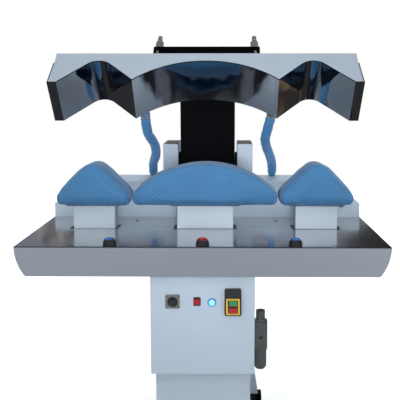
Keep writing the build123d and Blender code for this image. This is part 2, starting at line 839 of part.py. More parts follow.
# Yoke across the head, with the studs and nuts that it hangs on
with BuildPart() as yoke:
    box_between(
        (-yoke_half, yoke_y - yoke_depth / 2, yoke_bottom_z),
        (yoke_half, yoke_y + yoke_depth / 2, yoke_top_z),
    )
    fillet(yoke.edges().filter_by(Axis.Y), 4)
    with BuildSketch(Plane.XY.offset(yoke_top_z)):
        with Locations((-stud_x, yoke_y), (stud_x, yoke_y)):
            Circle(stud_r + seat_gap)
    extrude(amount=-yoke_height, mode=Mode.SUBTRACT)
save(swing_open * yoke.part, "yoke")

with BuildPart() as levelling_studs:
    for x in (-stud_x, stud_x):
        with BuildSketch(Plane.XY.offset(housing_top_z)):
            with Locations((x, yoke_y)):
                Circle(stud_r)
        extrude(amount=yoke_top_z + stud_rise - housing_top_z)
        for z in (yoke_bottom_z - nut_height, yoke_top_z, yoke_top_z + nut_height + 1):
            with BuildSketch(Plane.XY.offset(z)):
                with Locations((x, yoke_y)):
                    RegularPolygon(nut_flats / 2, 6, major_radius=False)
            extrude(amount=nut_height)
    fillet(levelling_studs.faces().filter_by(Axis.Z).group_by(Axis.Z)[-1].edges(), stud_r - 1)
    with BuildSketch(Plane.XY.offset(housing_top_z)):
        bolt_y = shoe_front_y + head_bolt_setback
        with Locations((-head_bolt_x, bolt_y), (head_bolt_x, bolt_y)):
            Circle(head_bolt_r)
    extrude(amount=head_bolt_rise)
    bolt_tops = levelling_studs.faces().filter_by(Axis.Z).filter_by_position(
        Axis.Z, housing_top_z + head_bolt_rise - 0.1, housing_top_z + head_bolt_rise + 0.1)
    fillet(bolt_tops.edges(), head_bolt_r - 1)
save(swing_open * levelling_studs.part, "levelling_studs")

# Swing arm, a deep channel: a front plate between two side plates, with hub tubes
arm_back_y = yoke_y + yoke_depth / 2


def arm_profile(shift):
    """The arm's side view, from the hub to the elbow and on to the yoke, moved by shift."""
    dy, dz = shift
    rear_y_top = arm_elbow_y + arm_elbow_depth
    with BuildLine() as outline:
        CenterArc((pivot_y + dy, pivot_z + dz), arm_hub_r, 0, 360)
        Line((arm_elbow_y + dy, yoke_bottom_z + dz), (rear_y_top + dy, yoke_top_z + dz))
    make_hull(outline.edges())
    with Locations(((arm_back_y + rear_y_top) / 2 + dy, (yoke_bottom_z + yoke_top_z) / 2 + dz)):
        Rectangle(rear_y_top - arm_back_y, yoke_height)


fall = atan2(yoke_bottom_z - pivot_z, pivot_y - arm_elbow_y)
with BuildPart() as swing_arm:
    with BuildSketch(side_plane(-arm_half)):
        arm_profile((0, 0))
    extrude(amount=2 * arm_half)
    inner = (arm_front_plate * sin(fall), arm_front_plate * cos(fall))
    for step in (1, 5):
        with BuildSketch(side_plane(arm_side_plate - arm_half)):
            arm_profile((step * inner[0], step * inner[1]))
        extrude(amount=2 * (arm_half - arm_side_plate), mode=Mode.SUBTRACT)
    with BuildSketch(side_plane(-arm_rib / 2)):
        with BuildLine():
            Polyline(
                (arm_back_y + 20, yoke_bottom_z + 2),
                (arm_elbow_y, yoke_bottom_z + 2),
                (arm_elbow_y + 100, yoke_bottom_z + 2 - 100 * tan(fall)),
                (arm_elbow_y + 100, yoke_top_z - 60 * tan(fall)),
                (arm_elbow_y + 40, yoke_top_z - 2),
                (arm_back_y + 20, yoke_top_z - 2),
                close=True,
            )
        make_face()
    extrude(amount=arm_rib)
    for side in (-1, 1):
        with BuildSketch(side_plane(side * (lever_hub_half + seat_gap))):
            with Locations((pivot_y, pivot_z)):
                Circle(hub_tube_r)
        extrude(amount=side * (arm_half - lever_hub_half - seat_gap))
    with BuildSketch(side_plane(-arm_half)):
        with Locations((pivot_y, pivot_z)):
            Circle(shaft_r + 0.02)
    extrude(amount=2 * arm_half, mode=Mode.SUBTRACT)
save(swing_open * swing_arm.part, "swing_arm")

with BuildPart() as pivot_shaft:
    with BuildSketch(side_plane(-shaft_half)):
        with Locations((pivot_y, pivot_z)):
            Circle(shaft_r)
    extrude(amount=2 * shaft_half)
    chamfer(pivot_shaft.edges(), 1.5)
save(pivot_shaft.part, "pivot_shaft")

# Drive lever, two plates on a hub in the middle of the shaft, drawn with the head closed
lever_tip = (
    pivot_y + lever_length * cos(radians(open_angle / 2)),
    pivot_z + lever_length * sin(radians(open_angle / 2)),
)
with BuildPart() as drive_lever:
    with BuildSketch(side_plane(-lever_hub_half)):
        with Locations((pivot_y, pivot_z)):
            Circle(hub_tube_r)
    extrude(amount=2 * lever_hub_half)
    for x in (-lever_gap / 2 - lever_plate, lever_gap / 2):
        with BuildSketch(side_plane(x)):
            with BuildLine():
                CenterArc((pivot_y, pivot_z), hub_tube_r, 0, 360)
                CenterArc(lever_tip, lever_end_r, 0, 360)
            make_hull()
        extrude(amount=lever_plate)
    with BuildSketch(side_plane(-lever_hub_half)):
        with Locations((pivot_y, pivot_z)):
            Circle(shaft_r + 0.02)
        with Locations(lever_tip):
            Circle(lever_pin_r + 0.02)
    extrude(amount=2 * lever_hub_half, mode=Mode.SUBTRACT)
save(swing_open * drive_lever.part, "drive_lever")

with BuildPart() as lever_pin:
    pin_half = lever_gap / 2 + lever_plate + 5
    with BuildSketch(side_plane(-pin_half)):
        with Locations(lever_tip):
            Circle(lever_pin_r)
    extrude(amount=2 * pin_half)
    chamfer(lever_pin.edges(), 1)
save(swing_open * lever_pin.part, "lever_pin")

# Palm buttons
with BuildPart() as palm_button_bases:
    for x in (-palm_x, 0, palm_x):
        with BuildSketch(Plane.XZ.offset(-palm_y)) as base_half:
            with BuildLine():
                Polyline(
                    (x + palm_stem_r + shaft_play, table_height - palm_barrel_length),
                    (x + palm_barrel_r, table_height - palm_barrel_length),
                    (x + palm_barrel_r, table_height),
                    (x + palm_base_r, table_height),
                    (x + palm_base_r, table_height + 8),
                    (x + palm_bore_r + 3, table_height + palm_base_height),
                    (x + palm_bore_r, table_height + palm_base_height),
                    (x + palm_bore_r, table_height + 5),
                    (x + palm_stem_r + shaft_play, table_height + 5),
                    close=True,
                )
            make_face()
        revolve(axis=Axis((x, palm_y, 0), (0, 0, 1)))
save(palm_button_bases.part, "palm_button_bases")

for name, x in (("palm_cap_left", -palm_x), ("palm_cap_centre", 0), ("palm_cap_right", palm_x)):
    with BuildPart() as palm_cap:
        cap_low_z = table_height + 5 + palm_travel + 1
        cap_top_z = table_height + palm_base_height + palm_travel + 1
        stem_low_z = table_height - palm_barrel_length + palm_travel + 4
        with BuildSketch(Plane.XY.offset(cap_low_z)):
            with Locations((x, palm_y)):
                Circle(palm_cap_r)
        extrude(amount=cap_top_z - cap_low_z)
        fillet(palm_cap.faces().sort_by(Axis.Z)[-1].edges(), palm_cap_edge_r)
        with BuildSketch(Plane.XY.offset(stem_low_z)):
            with Locations((x, palm_y)):
                Circle(palm_stem_r)
        extrude(amount=cap_low_z - stem_low_z)
    save(palm_cap.part, name)

# Timer: a square plate with a turning knob
with BuildPart() as timer_body:
    with BuildSketch(front_plane(cabinet_front_y)):
        with Locations((timer_x, control_z)):
            RectangleRounded(timer_plate, timer_plate, 5)
    extrude(amount=6)
    fillet(timer_body.faces().sort_by(Axis.Y)[0].edges(), 1.5)
    with BuildSketch(front_plane(cabinet_front_y)):
        with Locations((timer_x, control_z)):
            Circle(timer_barrel_r)
    extrude(amount=-38)
    with BuildSketch(front_plane(cabinet_front_y - 6)):
        with Locations((timer_x, control_z)):
            Circle(3.05)
    extrude(amount=-12, mode=Mode.SUBTRACT)
save(timer_body.part, "timer_body")

with BuildPart() as timer_knob:
    with BuildSketch(front_plane(cabinet_front_y - 6 - seat_gap)):
        with Locations((timer_x, control_z)):
            Circle(timer_knob_r)
    extrude(amount=13, taper=4)
    fillet(timer_knob.faces().sort_by(Axis.Y)[0].edges(), 1)
    with BuildSketch(front_plane(cabinet_front_y - 20)):
        with Locations((timer_x, control_z + timer_knob_r - 4)):
            Rectangle(1.6, 6)
    extrude(amount=-2, mode=Mode.SUBTRACT)
    with BuildSketch(front_plane(cabinet_front_y - 6 - seat_gap)):
        with Locations((timer_x, control_z)):
            Circle(3)
    extrude(amount=-11)
save(timer_knob.part, "timer_knob")

# Rocker switch
rocker_axis_y = cabinet_front_y + 3
with BuildPart() as rocker_frame:
    with BuildSketch(front_plane(cabinet_front_y)):
        with Locations((rocker_x, control_z)):
            RectangleRounded(rocker_frame_width, rocker_frame_height, 2)
    extrude(amount=2.5)
    with BuildSketch(front_plane(cabinet_front_y)):
        with Locations((rocker_x, control_z)):
            Rectangle(rocker_frame_width - 3.4, rocker_frame_height - 3.4)
    extrude(amount=-24)
    with BuildSketch(front_plane(cabinet_front_y - 2.5)):
        with Locations((rocker_x, control_z)):
            Rectangle(rocker_width + 0.6, rocker_height + 2.2)
    extrude(amount=-14, mode=Mode.SUBTRACT)
    with BuildSketch(side_plane(rocker_x)):
        with Locations((rocker_axis_y, control_z)):
            Circle(1.55)
    extrude(amount=rocker_width / 2 + 1.3, both=True, mode=Mode.SUBTRACT)
save(rocker_frame.part, "rocker_frame")

with BuildPart() as rocker:
    with BuildSketch(side_plane(rocker_x)):
        with BuildLine():
            tip = rocker_height / 2
            Polyline(
                (rocker_axis_y + 4, control_z),
                (rocker_axis_y - 1, control_z + tip - 0.4),
                (cabinet_front_y - 6, control_z + tip - 0.8),
                (cabinet_front_y - 3.4, control_z),
                (cabinet_front_y - 3.0, control_z - tip + 0.8),
                (rocker_axis_y + 2, control_z - tip + 0.4),
                close=True,
            )
        make_face()
    extrude(amount=rocker_width / 2, both=True)
    with BuildSketch(side_plane(rocker_x)):
        with Locations((rocker_axis_y, control_z)):
            Circle(1.5)
    extrude(amount=rocker_width / 2 + 1, both=True)
save(rocker.part, "rocker")

# Pilot light
pilot_z = control_z - 3
with BuildPart() as pilot_light:
    with BuildSketch(front_plane(cabinet_front_y)):
        with Locations((pilot_x, pilot_z)):
            Circle(pilot_r)
    extrude(amount=5)
    chamfer(pilot_light.faces().sort_by(Axis.Y)[0].edges(), 1.5)
    with BuildSketch(front_plane(cabinet_front_y)):
        with Locations((pilot_x, pilot_z)):
            Circle(pilot_barrel_r)
    extrude(amount=-30)
    with BuildSketch(front_plane(cabinet_front_y - 5)):
        with Locations((pilot_x, pilot_z)):
            Circle(pilot_lens_r)
    extrude(amount=-3, mode=Mode.SUBTRACT)
save(pilot_light.part, "pilot_light")

with BuildPart() as pilot_lens:
    with BuildSketch(front_plane(cabinet_front_y - 2)):
        with Locations((pilot_x, pilot_z)):
            Circle(pilot_lens_r)
    extrude(amount=7)
    fillet(pilot_lens.faces().sort_by(Axis.Y)[0].edges(), 3)
save(pilot_lens.part, "pilot_lens")

# Start and stop switch
switch_z = control_z
cover_z = switch_z - switch_cover_drop
button_seat_width = push_button_width + 2 * seat_gap
button_seat_height = push_button_height + 2 * seat_gap
start_z = cover_z + push_button_spacing / 2
stop_z = cover_z - push_button_spacing / 2
switch_face_y = cabinet_front_y - switch_depth
cover_face_y = switch_face_y - switch_cover_t
with BuildPart() as switch_box:
    with BuildSketch(front_plane(cabinet_front_y)):
        with Locations((switch_x, switch_z)):
            RectangleRounded(switch_width, switch_height, 5)
    extrude(amount=switch_depth)
    fillet(switch_box.faces().sort_by(Axis.Y)[0].edges(), 2)
    with BuildSketch(front_plane(switch_face_y)):
        with Locations((switch_x, start_z), (switch_x, stop_z)):
            RectangleRounded(button_seat_width, button_seat_height, push_button_corner_r)
    extrude(amount=-12, mode=Mode.SUBTRACT)
save(switch_box.part, "switch_box")

with BuildPart() as switch_cover:
    with BuildSketch(front_plane(switch_face_y)):
        with Locations((switch_x, cover_z)):
            RectangleRounded(switch_cover_width, switch_cover_height, 3)
        with Locations((switch_x, start_z), (switch_x, stop_z)):
            RectangleRounded(button_seat_width, button_seat_height, push_button_corner_r, mode=Mode.SUBTRACT)
    extrude(amount=switch_cover_t)
save(switch_cover.part, "switch_cover")

for name, z, stand in (("start_button", start_z, 1), ("stop_button", stop_z, 3)):
    with BuildPart() as button:
        with BuildSketch(front_plane(switch_face_y + 8)):
            with Locations((switch_x, z)):
                RectangleRounded(push_button_width, push_button_height, push_button_corner_r)
        extrude(amount=8 + switch_cover_t + stand)
        fillet(button.faces().sort_by(Axis.Y)[0].edges(), 1)
    save(button.part, name)

# Filter regulator
with BuildPart() as regulator_block:
    low_z = regulator_body_top_z - regulator_body_height
    box_between(
        (regulator_x - regulator_body / 2, regulator_y - regulator_body / 2, low_z),
        (regulator_x + regulator_body / 2, regulator_y + regulator_body / 2, regulator_body_top_z),
    )
    fillet(regulator_block.edges().filter_by(Axis.Z), 8)
    box_between(
        (cabinet_width / 2, regulator_y - 15, regulator_body_top_z - 60),
        (regulator_x, regulator_y + 15, regulator_body_top_z - 20),
    )
    port_z = regulator_body_top_z - 55
    with BuildSketch(front_plane(regulator_y - regulator_body / 2)):
        with Locations((regulator_x, port_z)):
            Circle(regulator_port_r)
    extrude(amount=-14, mode=Mode.SUBTRACT)
    with BuildSketch(Plane.XY.offset(regulator_body_top_z)):
        with Locations((regulator_x, regulator_y)):
            Circle(4.05)
    extrude(amount=-20, mode=Mode.SUBTRACT)
save(regulator_block.part, "regulator_body")

with BuildPart() as regulator_knob:
    with BuildSketch(Plane.XY.offset(regulator_body_top_z + seat_gap)):
        with Locations((regulator_x, regulator_y)):
            Circle(regulator_knob_r)
    extrude(amount=regulator_knob_height)
    fillet(regulator_knob.faces().sort_by(Axis.Z)[-1].edges(), 3)
    with BuildSketch(Plane.XY.offset(regulator_body_top_z + 4)):
        with Locations((regulator_x, regulator_y)):
            with PolarLocations(regulator_knob_r + 1, 12):
                Circle(2)
    extrude(amount=regulator_knob_height, mode=Mode.SUBTRACT)
    with BuildSketch(Plane.XY.offset(regulator_body_top_z + seat_gap)):
        with Locations((regulator_x, regulator_y)):
            Circle(4)
    extrude(amount=-18)
save(regulator_knob.part, "regulator_knob")

bowl_top_z = regulator_body_top_z - regulator_body_height
with BuildPart() as regulator_bowl:
    with BuildSketch(Plane.XY.offset(bowl_top_z - regulator_bowl_height)):
        with Locations((regulator_x, regulator_y)):
            Circle(regulator_bowl_r)
    extrude(amount=regulator_bowl_height)
    fillet(regulator_bowl.faces().sort_by(Axis.Z)[0].edges(), regulator_bowl_r - 4)
save(regulator_bowl.part, "regulator_bowl")

with BuildPart() as regulator_tube:
    tube_start_y = regulator_y + regulator_body / 2
    bend = regulator_x - cabinet_width / 2
    bend_start_y = tube_start_y + 15
    with BuildLine():
        Line((regulator_x, tube_start_y, port_z), (regulator_x, bend_start_y, port_z))
        ThreePointArc(
            (regulator_x, bend_start_y, port_z),
            (regulator_x - bend * (1 - cos(radians(45))), bend_start_y + bend * sin(radians(45)), port_z),
            (cabinet_width / 2, bend_start_y + bend, port_z),
        )
    with BuildSketch(front_plane(tube_start_y)):
        with Locations((regulator_x, port_z)):
            Circle(air_tube_r)
    sweep()
save(regulator_tube.part, "regulator_tube")


# Hoses. The routes are lists of points chosen by hand, in the frame of the table: X, back from the table's
# front edge, up from its top. The first and last points are the mouths of the fittings.
steam_route = [
    (-240, 584, 401),
    (-241, 609, 371),
    (-238, 650, 325),
    (-215, 722, 281),
    (-222, 830, 222),
    (-246, 913, 186),
    (-247, 948, 151),
]
return_route = [
    (252, 584, 401),
    (246, 609, 371),
    (233, 660, 316),
    (240, 735, 274),
    (262, 830, 228),
    (277, 913, 186),
    (279, 948, 151),
]


def in_room(point):
    """A point of the table's frame in the model's frame."""
    return Vector(point[0], point[1] + front_y, point[2] + table_height)


def route_radii(points):
    """The arc radius at each inner point: 0.45 of the shorter run over the tangent of half the turn."""
    radii = []
    for before, here, after in zip(points, points[1:], points[2:]):
        turn = (here - before).get_angle(after - here)
        shorter = min((here - before).length, (after - here).length)
        radii.append(0.45 * shorter / tan(radians(turn / 2)))
    return radii


for name, route in (("steam_hose", steam_route), ("return_hose", return_route)):
    points = [in_room(p) for p in route]
    radii = route_radii(points)
    with BuildPart() as hose:
        with BuildLine() as hose_line:
            FilletPolyline(*points, radius=radii)
        start = Plane(origin=points[0], z_dir=points[1] - points[0])
        with BuildSketch(start):
            Circle(hose_r)
        sweep()
    length = hose_line.wires()[0].length
    print(name, "length", round(length), "radii", [round(r) for r in radii])
    print(name, "volume", round(hose.part.volume), "section times length", round(3.14159 * hose_r**2 * length))
    save(hose.part, name)


def fitting(mouth, way):
    """A hose fitting that ends at mouth: a stub along way, with a wider collar round its end."""
    with BuildSketch(Plane(origin=mouth - way * hose_fitting_length, z_dir=way)) as stub:
        Circle(hose_stub_r)
    extrude(stub.sketch, amount=hose_fitting_length)
    with BuildSketch(Plane(origin=mouth - way * hose_collar_length, z_dir=way)) as collar:
        Circle(hose_fitting_r)
    extrude(collar.sketch, amount=hose_collar_length)


# Fittings on the head's back panel, in line with the hoses' first runs
panel_spot = (swing_open * Location((0, shoe_rear_y, feet_z))).position
panel_way = Vector(0, cos(radians(open_angle)), -sin(radians(open_angle)))
with BuildPart() as head_hose_fittings:
    for route in (steam_route, return_route):
        mouth = in_room(route[0])
        fitting(mouth, (in_room(route[1]) - mouth).normalized())
    split(bisect_by=Plane(origin=panel_spot, z_dir=panel_way), keep=Keep.TOP)
save(head_hose_fittings.part, "head_hose_fittings")

# Fittings on the rear box, in line with the hoses' last runs, and the steam ports in the rear wall
with BuildPart() as rear_hose_fittings:
    for route in (steam_route, return_route):
        mouth = in_room(route[-1])
        fitting(mouth, (in_room(route[-2]) - mouth).normalized())
    split(bisect_by=Plane.XY.offset(upper_box_top_z), keep=Keep.TOP)
    for x in (-steam_port_x, steam_port_x):
        with BuildSketch(front_plane(rear_y)):
            with Locations((x, steam_port_z)):
                Circle(steam_port_outer_r)
                Circle(steam_port_r, mode=Mode.SUBTRACT)
        extrude(amount=steam_port_length)
save(rear_hose_fittings.part, "rear_hose_fittings")
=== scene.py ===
import json
import math

import bmesh
import bpy
from mathutils import Matrix, Vector, noise


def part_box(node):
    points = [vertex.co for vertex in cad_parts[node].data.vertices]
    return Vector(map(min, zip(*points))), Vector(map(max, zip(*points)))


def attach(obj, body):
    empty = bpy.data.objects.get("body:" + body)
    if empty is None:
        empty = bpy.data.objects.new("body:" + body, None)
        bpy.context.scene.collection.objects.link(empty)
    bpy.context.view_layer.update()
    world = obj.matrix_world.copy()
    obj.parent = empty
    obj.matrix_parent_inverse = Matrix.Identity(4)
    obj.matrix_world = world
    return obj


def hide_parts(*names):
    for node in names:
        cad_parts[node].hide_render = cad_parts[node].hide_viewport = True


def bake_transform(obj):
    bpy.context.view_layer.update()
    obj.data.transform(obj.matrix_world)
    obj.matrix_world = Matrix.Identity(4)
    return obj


# Collar and cuff press. Lengths are in metres in the frame of the CAD: +X right, +Y back, +Z up.
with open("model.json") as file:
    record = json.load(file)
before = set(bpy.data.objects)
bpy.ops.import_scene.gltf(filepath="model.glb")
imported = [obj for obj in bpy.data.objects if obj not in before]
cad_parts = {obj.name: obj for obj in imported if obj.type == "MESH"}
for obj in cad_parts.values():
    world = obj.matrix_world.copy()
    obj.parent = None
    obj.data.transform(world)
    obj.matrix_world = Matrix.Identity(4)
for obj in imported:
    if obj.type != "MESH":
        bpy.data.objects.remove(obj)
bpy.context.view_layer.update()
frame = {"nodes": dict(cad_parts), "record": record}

# Places in the CAD, from the table's front edge and top
FRONT_Y = -0.5
TABLE_Z = 0.94
FEET_Z = TABLE_Z + 0.119
VALLEY_Z = FEET_Z + 0.0115
BUCK_Y = FRONT_Y + 0.373
SEAM_Y = FRONT_Y + 0.384

# The arches that the shoe and the pads share
ARCH_RISE = 0.112
VALLEY_X = 0.270
CUFF_OUTER_X = 0.536
CUFF_X = (VALLEY_X + CUFF_OUTER_X) / 2
CUFF_HALF = (CUFF_OUTER_X - VALLEY_X) / 2
CUFF_CROWN_R = 0.055
COLLAR_R = (VALLEY_X**2 + ARCH_RISE**2) / (2 * ARCH_RISE)

# Pads
PAD_SIDE_GAP = 0.006
PAD_CROWN_GAP = 0.001
PAD_BOTTOM_Z = TABLE_Z + 0.0875
PAD_DEPTH = 0.175
PAD_CORNER_R = 0.021
PAD_EDGE_R = 0.022
PAD_START_INSET = 0.0025
LOW_EDGE_SHARE = 0.7
HELD_BAND = 0.012
SWELL_CAP = 0.006
SINK_LIMIT = 0.0005
CLOTH_T = 0.002
HEM_R = 0.0034

# The opening under each pad is this much wider than its post
MOUTH_SIDE = 0.022
MOUTH_END = 0.02
MOUTH_CORNER_R = 0.014

# Folds: how far apart, how deep and how far up they reach, and the wide dents and the waved hem
FOLD_PITCH = 0.030
FOLD_DEPTH = 0.0058
FOLD_REACH = 0.034
FOLD_FAN = 0.1
DENT_DEPTH = 0.0022
HEM_WAVE = 0.0022
HEM_WAVE_REACH = 0.018

# Posts and their slots in the table
POST_HALF = {"collar": 0.103, "cuff": 0.0765}
CUFF_POST_X = 0.4055
POST_DEPTH = 0.074
SLOT_SIDE_GAP = 0.012
SLOT_FRONT_GAP = 0.017
SLOT_BACK_GAP = 0.008

# Head
PIVOT = Vector((0, FRONT_Y + 0.785, TABLE_Z + 0.197))
OPEN_ANGLE = math.radians(50)
HOUSING_HALF = 0.570
FLANGE_X = 0.582
LIP_T = 0.003
LIP_HEIGHT = 0.115
SHOE_FRONT_Y = FRONT_Y + 0.287
SHOE_REAR_Y = SHOE_FRONT_Y + 0.188

# Hoses and their sleeves
HOSE_R = 0.017
SLEEVE_STEP = 0.0028
SLEEVE_LOOSE = 0.0014
SLEEVE_END_TUCK = 0.0022
SLEEVE_END_LENGTH = 0.016
KINK_DEPTH = 0.0055
KINK_WIDTH = 0.007


# Shaders
class Look:
    """A material: a Principled shader and the nodes that feed it, in metres of the object's own frame."""

    def __init__(self, name, colour, rough, metal=0.0, **sockets):
        self.material = bpy.data.materials.new(name)
        self.material.use_nodes = True
        self.material.diffuse_color = (*colour, 1)
        self.tree = self.material.node_tree
        self.shader = self.tree.nodes["Principled BSDF"]
        self.colour = colour
        self.normal = None
        self.place = self.add("ShaderNodeTexCoord").outputs["Object"]
        self.set(self.shader, {"Base Color": (*colour, 1), "Roughness": rough, "Metallic": metal})
        self.set(self.shader, {key.replace("_", " "): value for key, value in sockets.items()})

    def set(self, node, inputs):
        """Link a socket, or set a value, for each named or numbered input."""
        for key, value in inputs.items():
            if isinstance(value, bpy.types.NodeSocket):
                self.tree.links.new(value, node.inputs[key])
            else:
                node.inputs[key].default_value = value

    def add(self, kind, inputs=None, **settings):
        node = self.tree.nodes.new(kind)
        for key, value in settings.items():
            setattr(node, key, value)
        self.set(node, inputs or {})
        return node

    def stretched(self, scale):
        """The object's own coordinates times a scale for each axis."""
        return self.add("ShaderNodeMapping", {"Vector": self.place, "Scale": scale}).outputs[0]

    def noise(self, scale, detail=2.0, roughness=0.5):
        """Noise with a scale per metre, one number or one for each axis."""
        scale = scale if isinstance(scale, tuple) else (scale,) * 3
        inputs = {"Vector": self.stretched(scale), "Scale": 1.0, "Detail": detail, "Roughness": roughness}
        return self.add("ShaderNodeTexNoise", inputs).outputs["Fac"]

    def spread(self, value, low, high, to_low, to_high):
        """The value taken from one range to another."""
        inputs = {"Value": value, "From Min": low, "From Max": high, "To Min": to_low, "To Max": to_high}
        return self.add("ShaderNodeMapRange", inputs).outputs["Result"]

    def sum(self, a, b, operation="ADD"):
        """Two values added, or joined by another operation."""
        node = self.add("ShaderNodeMath", operation=operation)
        self.set(node, {0: a, 1: b})
        return node.outputs[0]

    def mixed(self, share, a, b):
        """Colour a, going to colour b as share goes from 0 to 1."""
        node = self.add("ShaderNodeMix", data_type="RGBA")
        self.set(node, {0: share, 6: a, 7: b})
        return node.outputs[2]

    def vary(self, share, dark=0.95, light=1.04):
        """The base colour between a darker and a lighter tone of itself."""
        tones = [(*(min(1, c * k) for c in self.colour), 1) for k in (dark, light)]
        self.set(self.shader, {"Base Color": self.mixed(share, *tones)})

    def vary_rough(self, share, low, high):
        """Roughness between two limits."""
        self.set(self.shader, {"Roughness": self.spread(share, 0.3, 0.7, low, high)})

    def round_edges(self, radius):
        """Shade the edges as if they were rounded."""
        self.normal = self.add("ShaderNodeBevel", {"Radius": radius}, samples=4).outputs[0]
        self.set(self.shader, {"Normal": self.normal})
        return self

    def bump(self, height, strength, distance):
        """Add a relief to the one that is there."""
        inputs = {"Height": height, "Strength": strength, "Distance": distance}
        if self.normal:
            inputs["Normal"] = self.normal
        self.normal = self.add("ShaderNodeBump", inputs).outputs[0]
        self.set(self.shader, {"Normal": self.normal})


def painted(name, colour, rough, peel=0.08, coat=0.25, gloss=0.5):
    """Sprayed paint with a slight orange peel."""
    look = Look(name, colour, rough, Coat_Weight=coat, Coat_Roughness=0.2, Specular_IOR_Level=gloss)
    look.round_edges(0.0015)
    look.vary(look.noise(2.5, 4), 0.965, 1.02)
    look.vary_rough(look.noise(14, 5), rough - 0.05, rough + 0.08)
    look.bump(look.noise(520, 2), peel, 0.0004)
    return look.material


def brushed_table():
    """Sheet steel: the top is polished, and the folded front is brushed along its length."""
    look = Look("stainless", (0.60, 0.60, 0.61), 0.2, 1.0).round_edges(0.0012)
    up = look.add("ShaderNodeNewGeometry").outputs["Normal"]
    height = look.add("ShaderNodeSeparateXYZ", {"Vector": up}).outputs["Z"]
    top = look.spread(height, 0.6, 0.95, 0.0, 1.0)
    brush = look.noise((1.6, 420, 420), 5, 0.6)
    haze = look.noise(5, 4)
    brushed = look.spread(brush, 0.25, 0.75, 0.27, 0.40)
    polished = look.spread(haze, 0.3, 0.7, 0.11, 0.17)
    rough = look.add("ShaderNodeMix", data_type="FLOAT")
    look.set(rough, {0: top, 2: brushed, 3: polished})
    look.set(look.shader, {"Roughness": rough.outputs[0]})
    look.vary(brush, 0.93, 1.05)
    side = look.sum(1.0, top, "SUBTRACT")
    look.bump(look.sum(brush, side, "MULTIPLY"), 0.05, 0.0003)
    look.bump(look.noise(6, 2), 0.012, 0.01)
    # Partly painted shadow: a dark band along the seam across the top, the joint's line widened into the
    # shadow of its lap
    seam_at = look.add("ShaderNodeSeparateXYZ", {"Vector": look.place}).outputs["Y"]
    from_seam = look.sum(look.sum(seam_at, SEAM_Y, "SUBTRACT"), 0.0, "ABSOLUTE")
    seam_and_shadow = look.sum(look.spread(from_seam, 0.002, 0.0055, 0.62, 0.0), top, "MULTIPLY")
    base = look.shader.inputs["Base Color"].links[0].from_socket
    look.set(look.shader, {"Base Color": look.mixed(seam_and_shadow, base, (0.02, 0.02, 0.025, 1))})
    return look.material


def polished_shoe():
    """Polished plate, slightly uneven, with fine scratches along its length."""
    look = Look("polished_shoe", (0.46, 0.465, 0.48), 0.045, 1.0)
    look.vary(look.noise(18, 4), 0.93, 1.04)
    look.vary_rough(look.noise((30, 6, 30), 5), 0.03, 0.085)
    look.bump(look.noise((6, 2.5, 6), 2), 0.3, 0.016)
    look.bump(look.noise((2, 300, 300), 3), 0.012, 0.0002)
    return look.material


def metal(name, colour, rough, grain, depth):
    """Dull metal with a grain, given as its scale and depth."""
    look = Look(name, colour, rough, 0.75).round_edges(0.0008)
    look.vary(look.noise(40, 5), 0.86, 1.06)
    look.vary_rough(look.noise(90, 4), rough - 0.07, rough + 0.10)
    look.bump(look.noise(grain, 3), depth, 0.0004)
    return look.material


def plastic(name, colour, rough, grain=0.0, **sockets):
    """Moulded plastic."""
    look = Look(name, colour, rough, **sockets).round_edges(0.0006)
    look.vary(look.noise(60, 3), 0.93, 1.05)
    look.vary_rough(look.noise(150, 3), rough - 0.03, rough + 0.06)
    look.bump(look.noise(1600, 2), grain, 0.0002)
    return look.material


def cloth(name, colour, crease):
    """Plain weave: two sets of threads, with slightly uneven dye and soft creases."""
    look = Look(name, colour, 0.82, Sheen_Weight=0.3, Sheen_Roughness=0.4)
    threads = []
    for direction in ("X", "Z"):
        inputs = {"Vector": look.place, "Scale": 190.0, "Distortion": 0.6, "Detail": 1.0}
        wave = look.add("ShaderNodeTexWave", inputs, bands_direction=direction)
        threads.append(wave.outputs["Fac"])
    weave = look.sum(*threads, "MAXIMUM")
    look.vary(look.sum(look.sum(weave, 0.25, "MULTIPLY"), look.noise(9, 5)), 0.84, 1.12)
    look.bump(weave, 0.22, 0.0004)
    look.bump(look.noise((22, 22, 40), 4), crease, 0.004)
    return look.material


def lit_lens():
    """The pilot light's lit lens, with its facets."""
    look = Look("blue_lens", (0.10, 0.45, 0.95), 0.18, Coat_Weight=0.5)
    facets = look.add("ShaderNodeTexVoronoi", {"Vector": look.place, "Scale": 420.0}).outputs["Distance"]
    glow = look.mixed(facets, (0.30, 0.72, 1.0, 1), (0.16, 0.55, 1.0, 1))
    look.set(look.shader, {"Emission Color": glow, "Emission Strength": 0.85})
    look.bump(facets, 0.3, 0.0006)
    return look.material


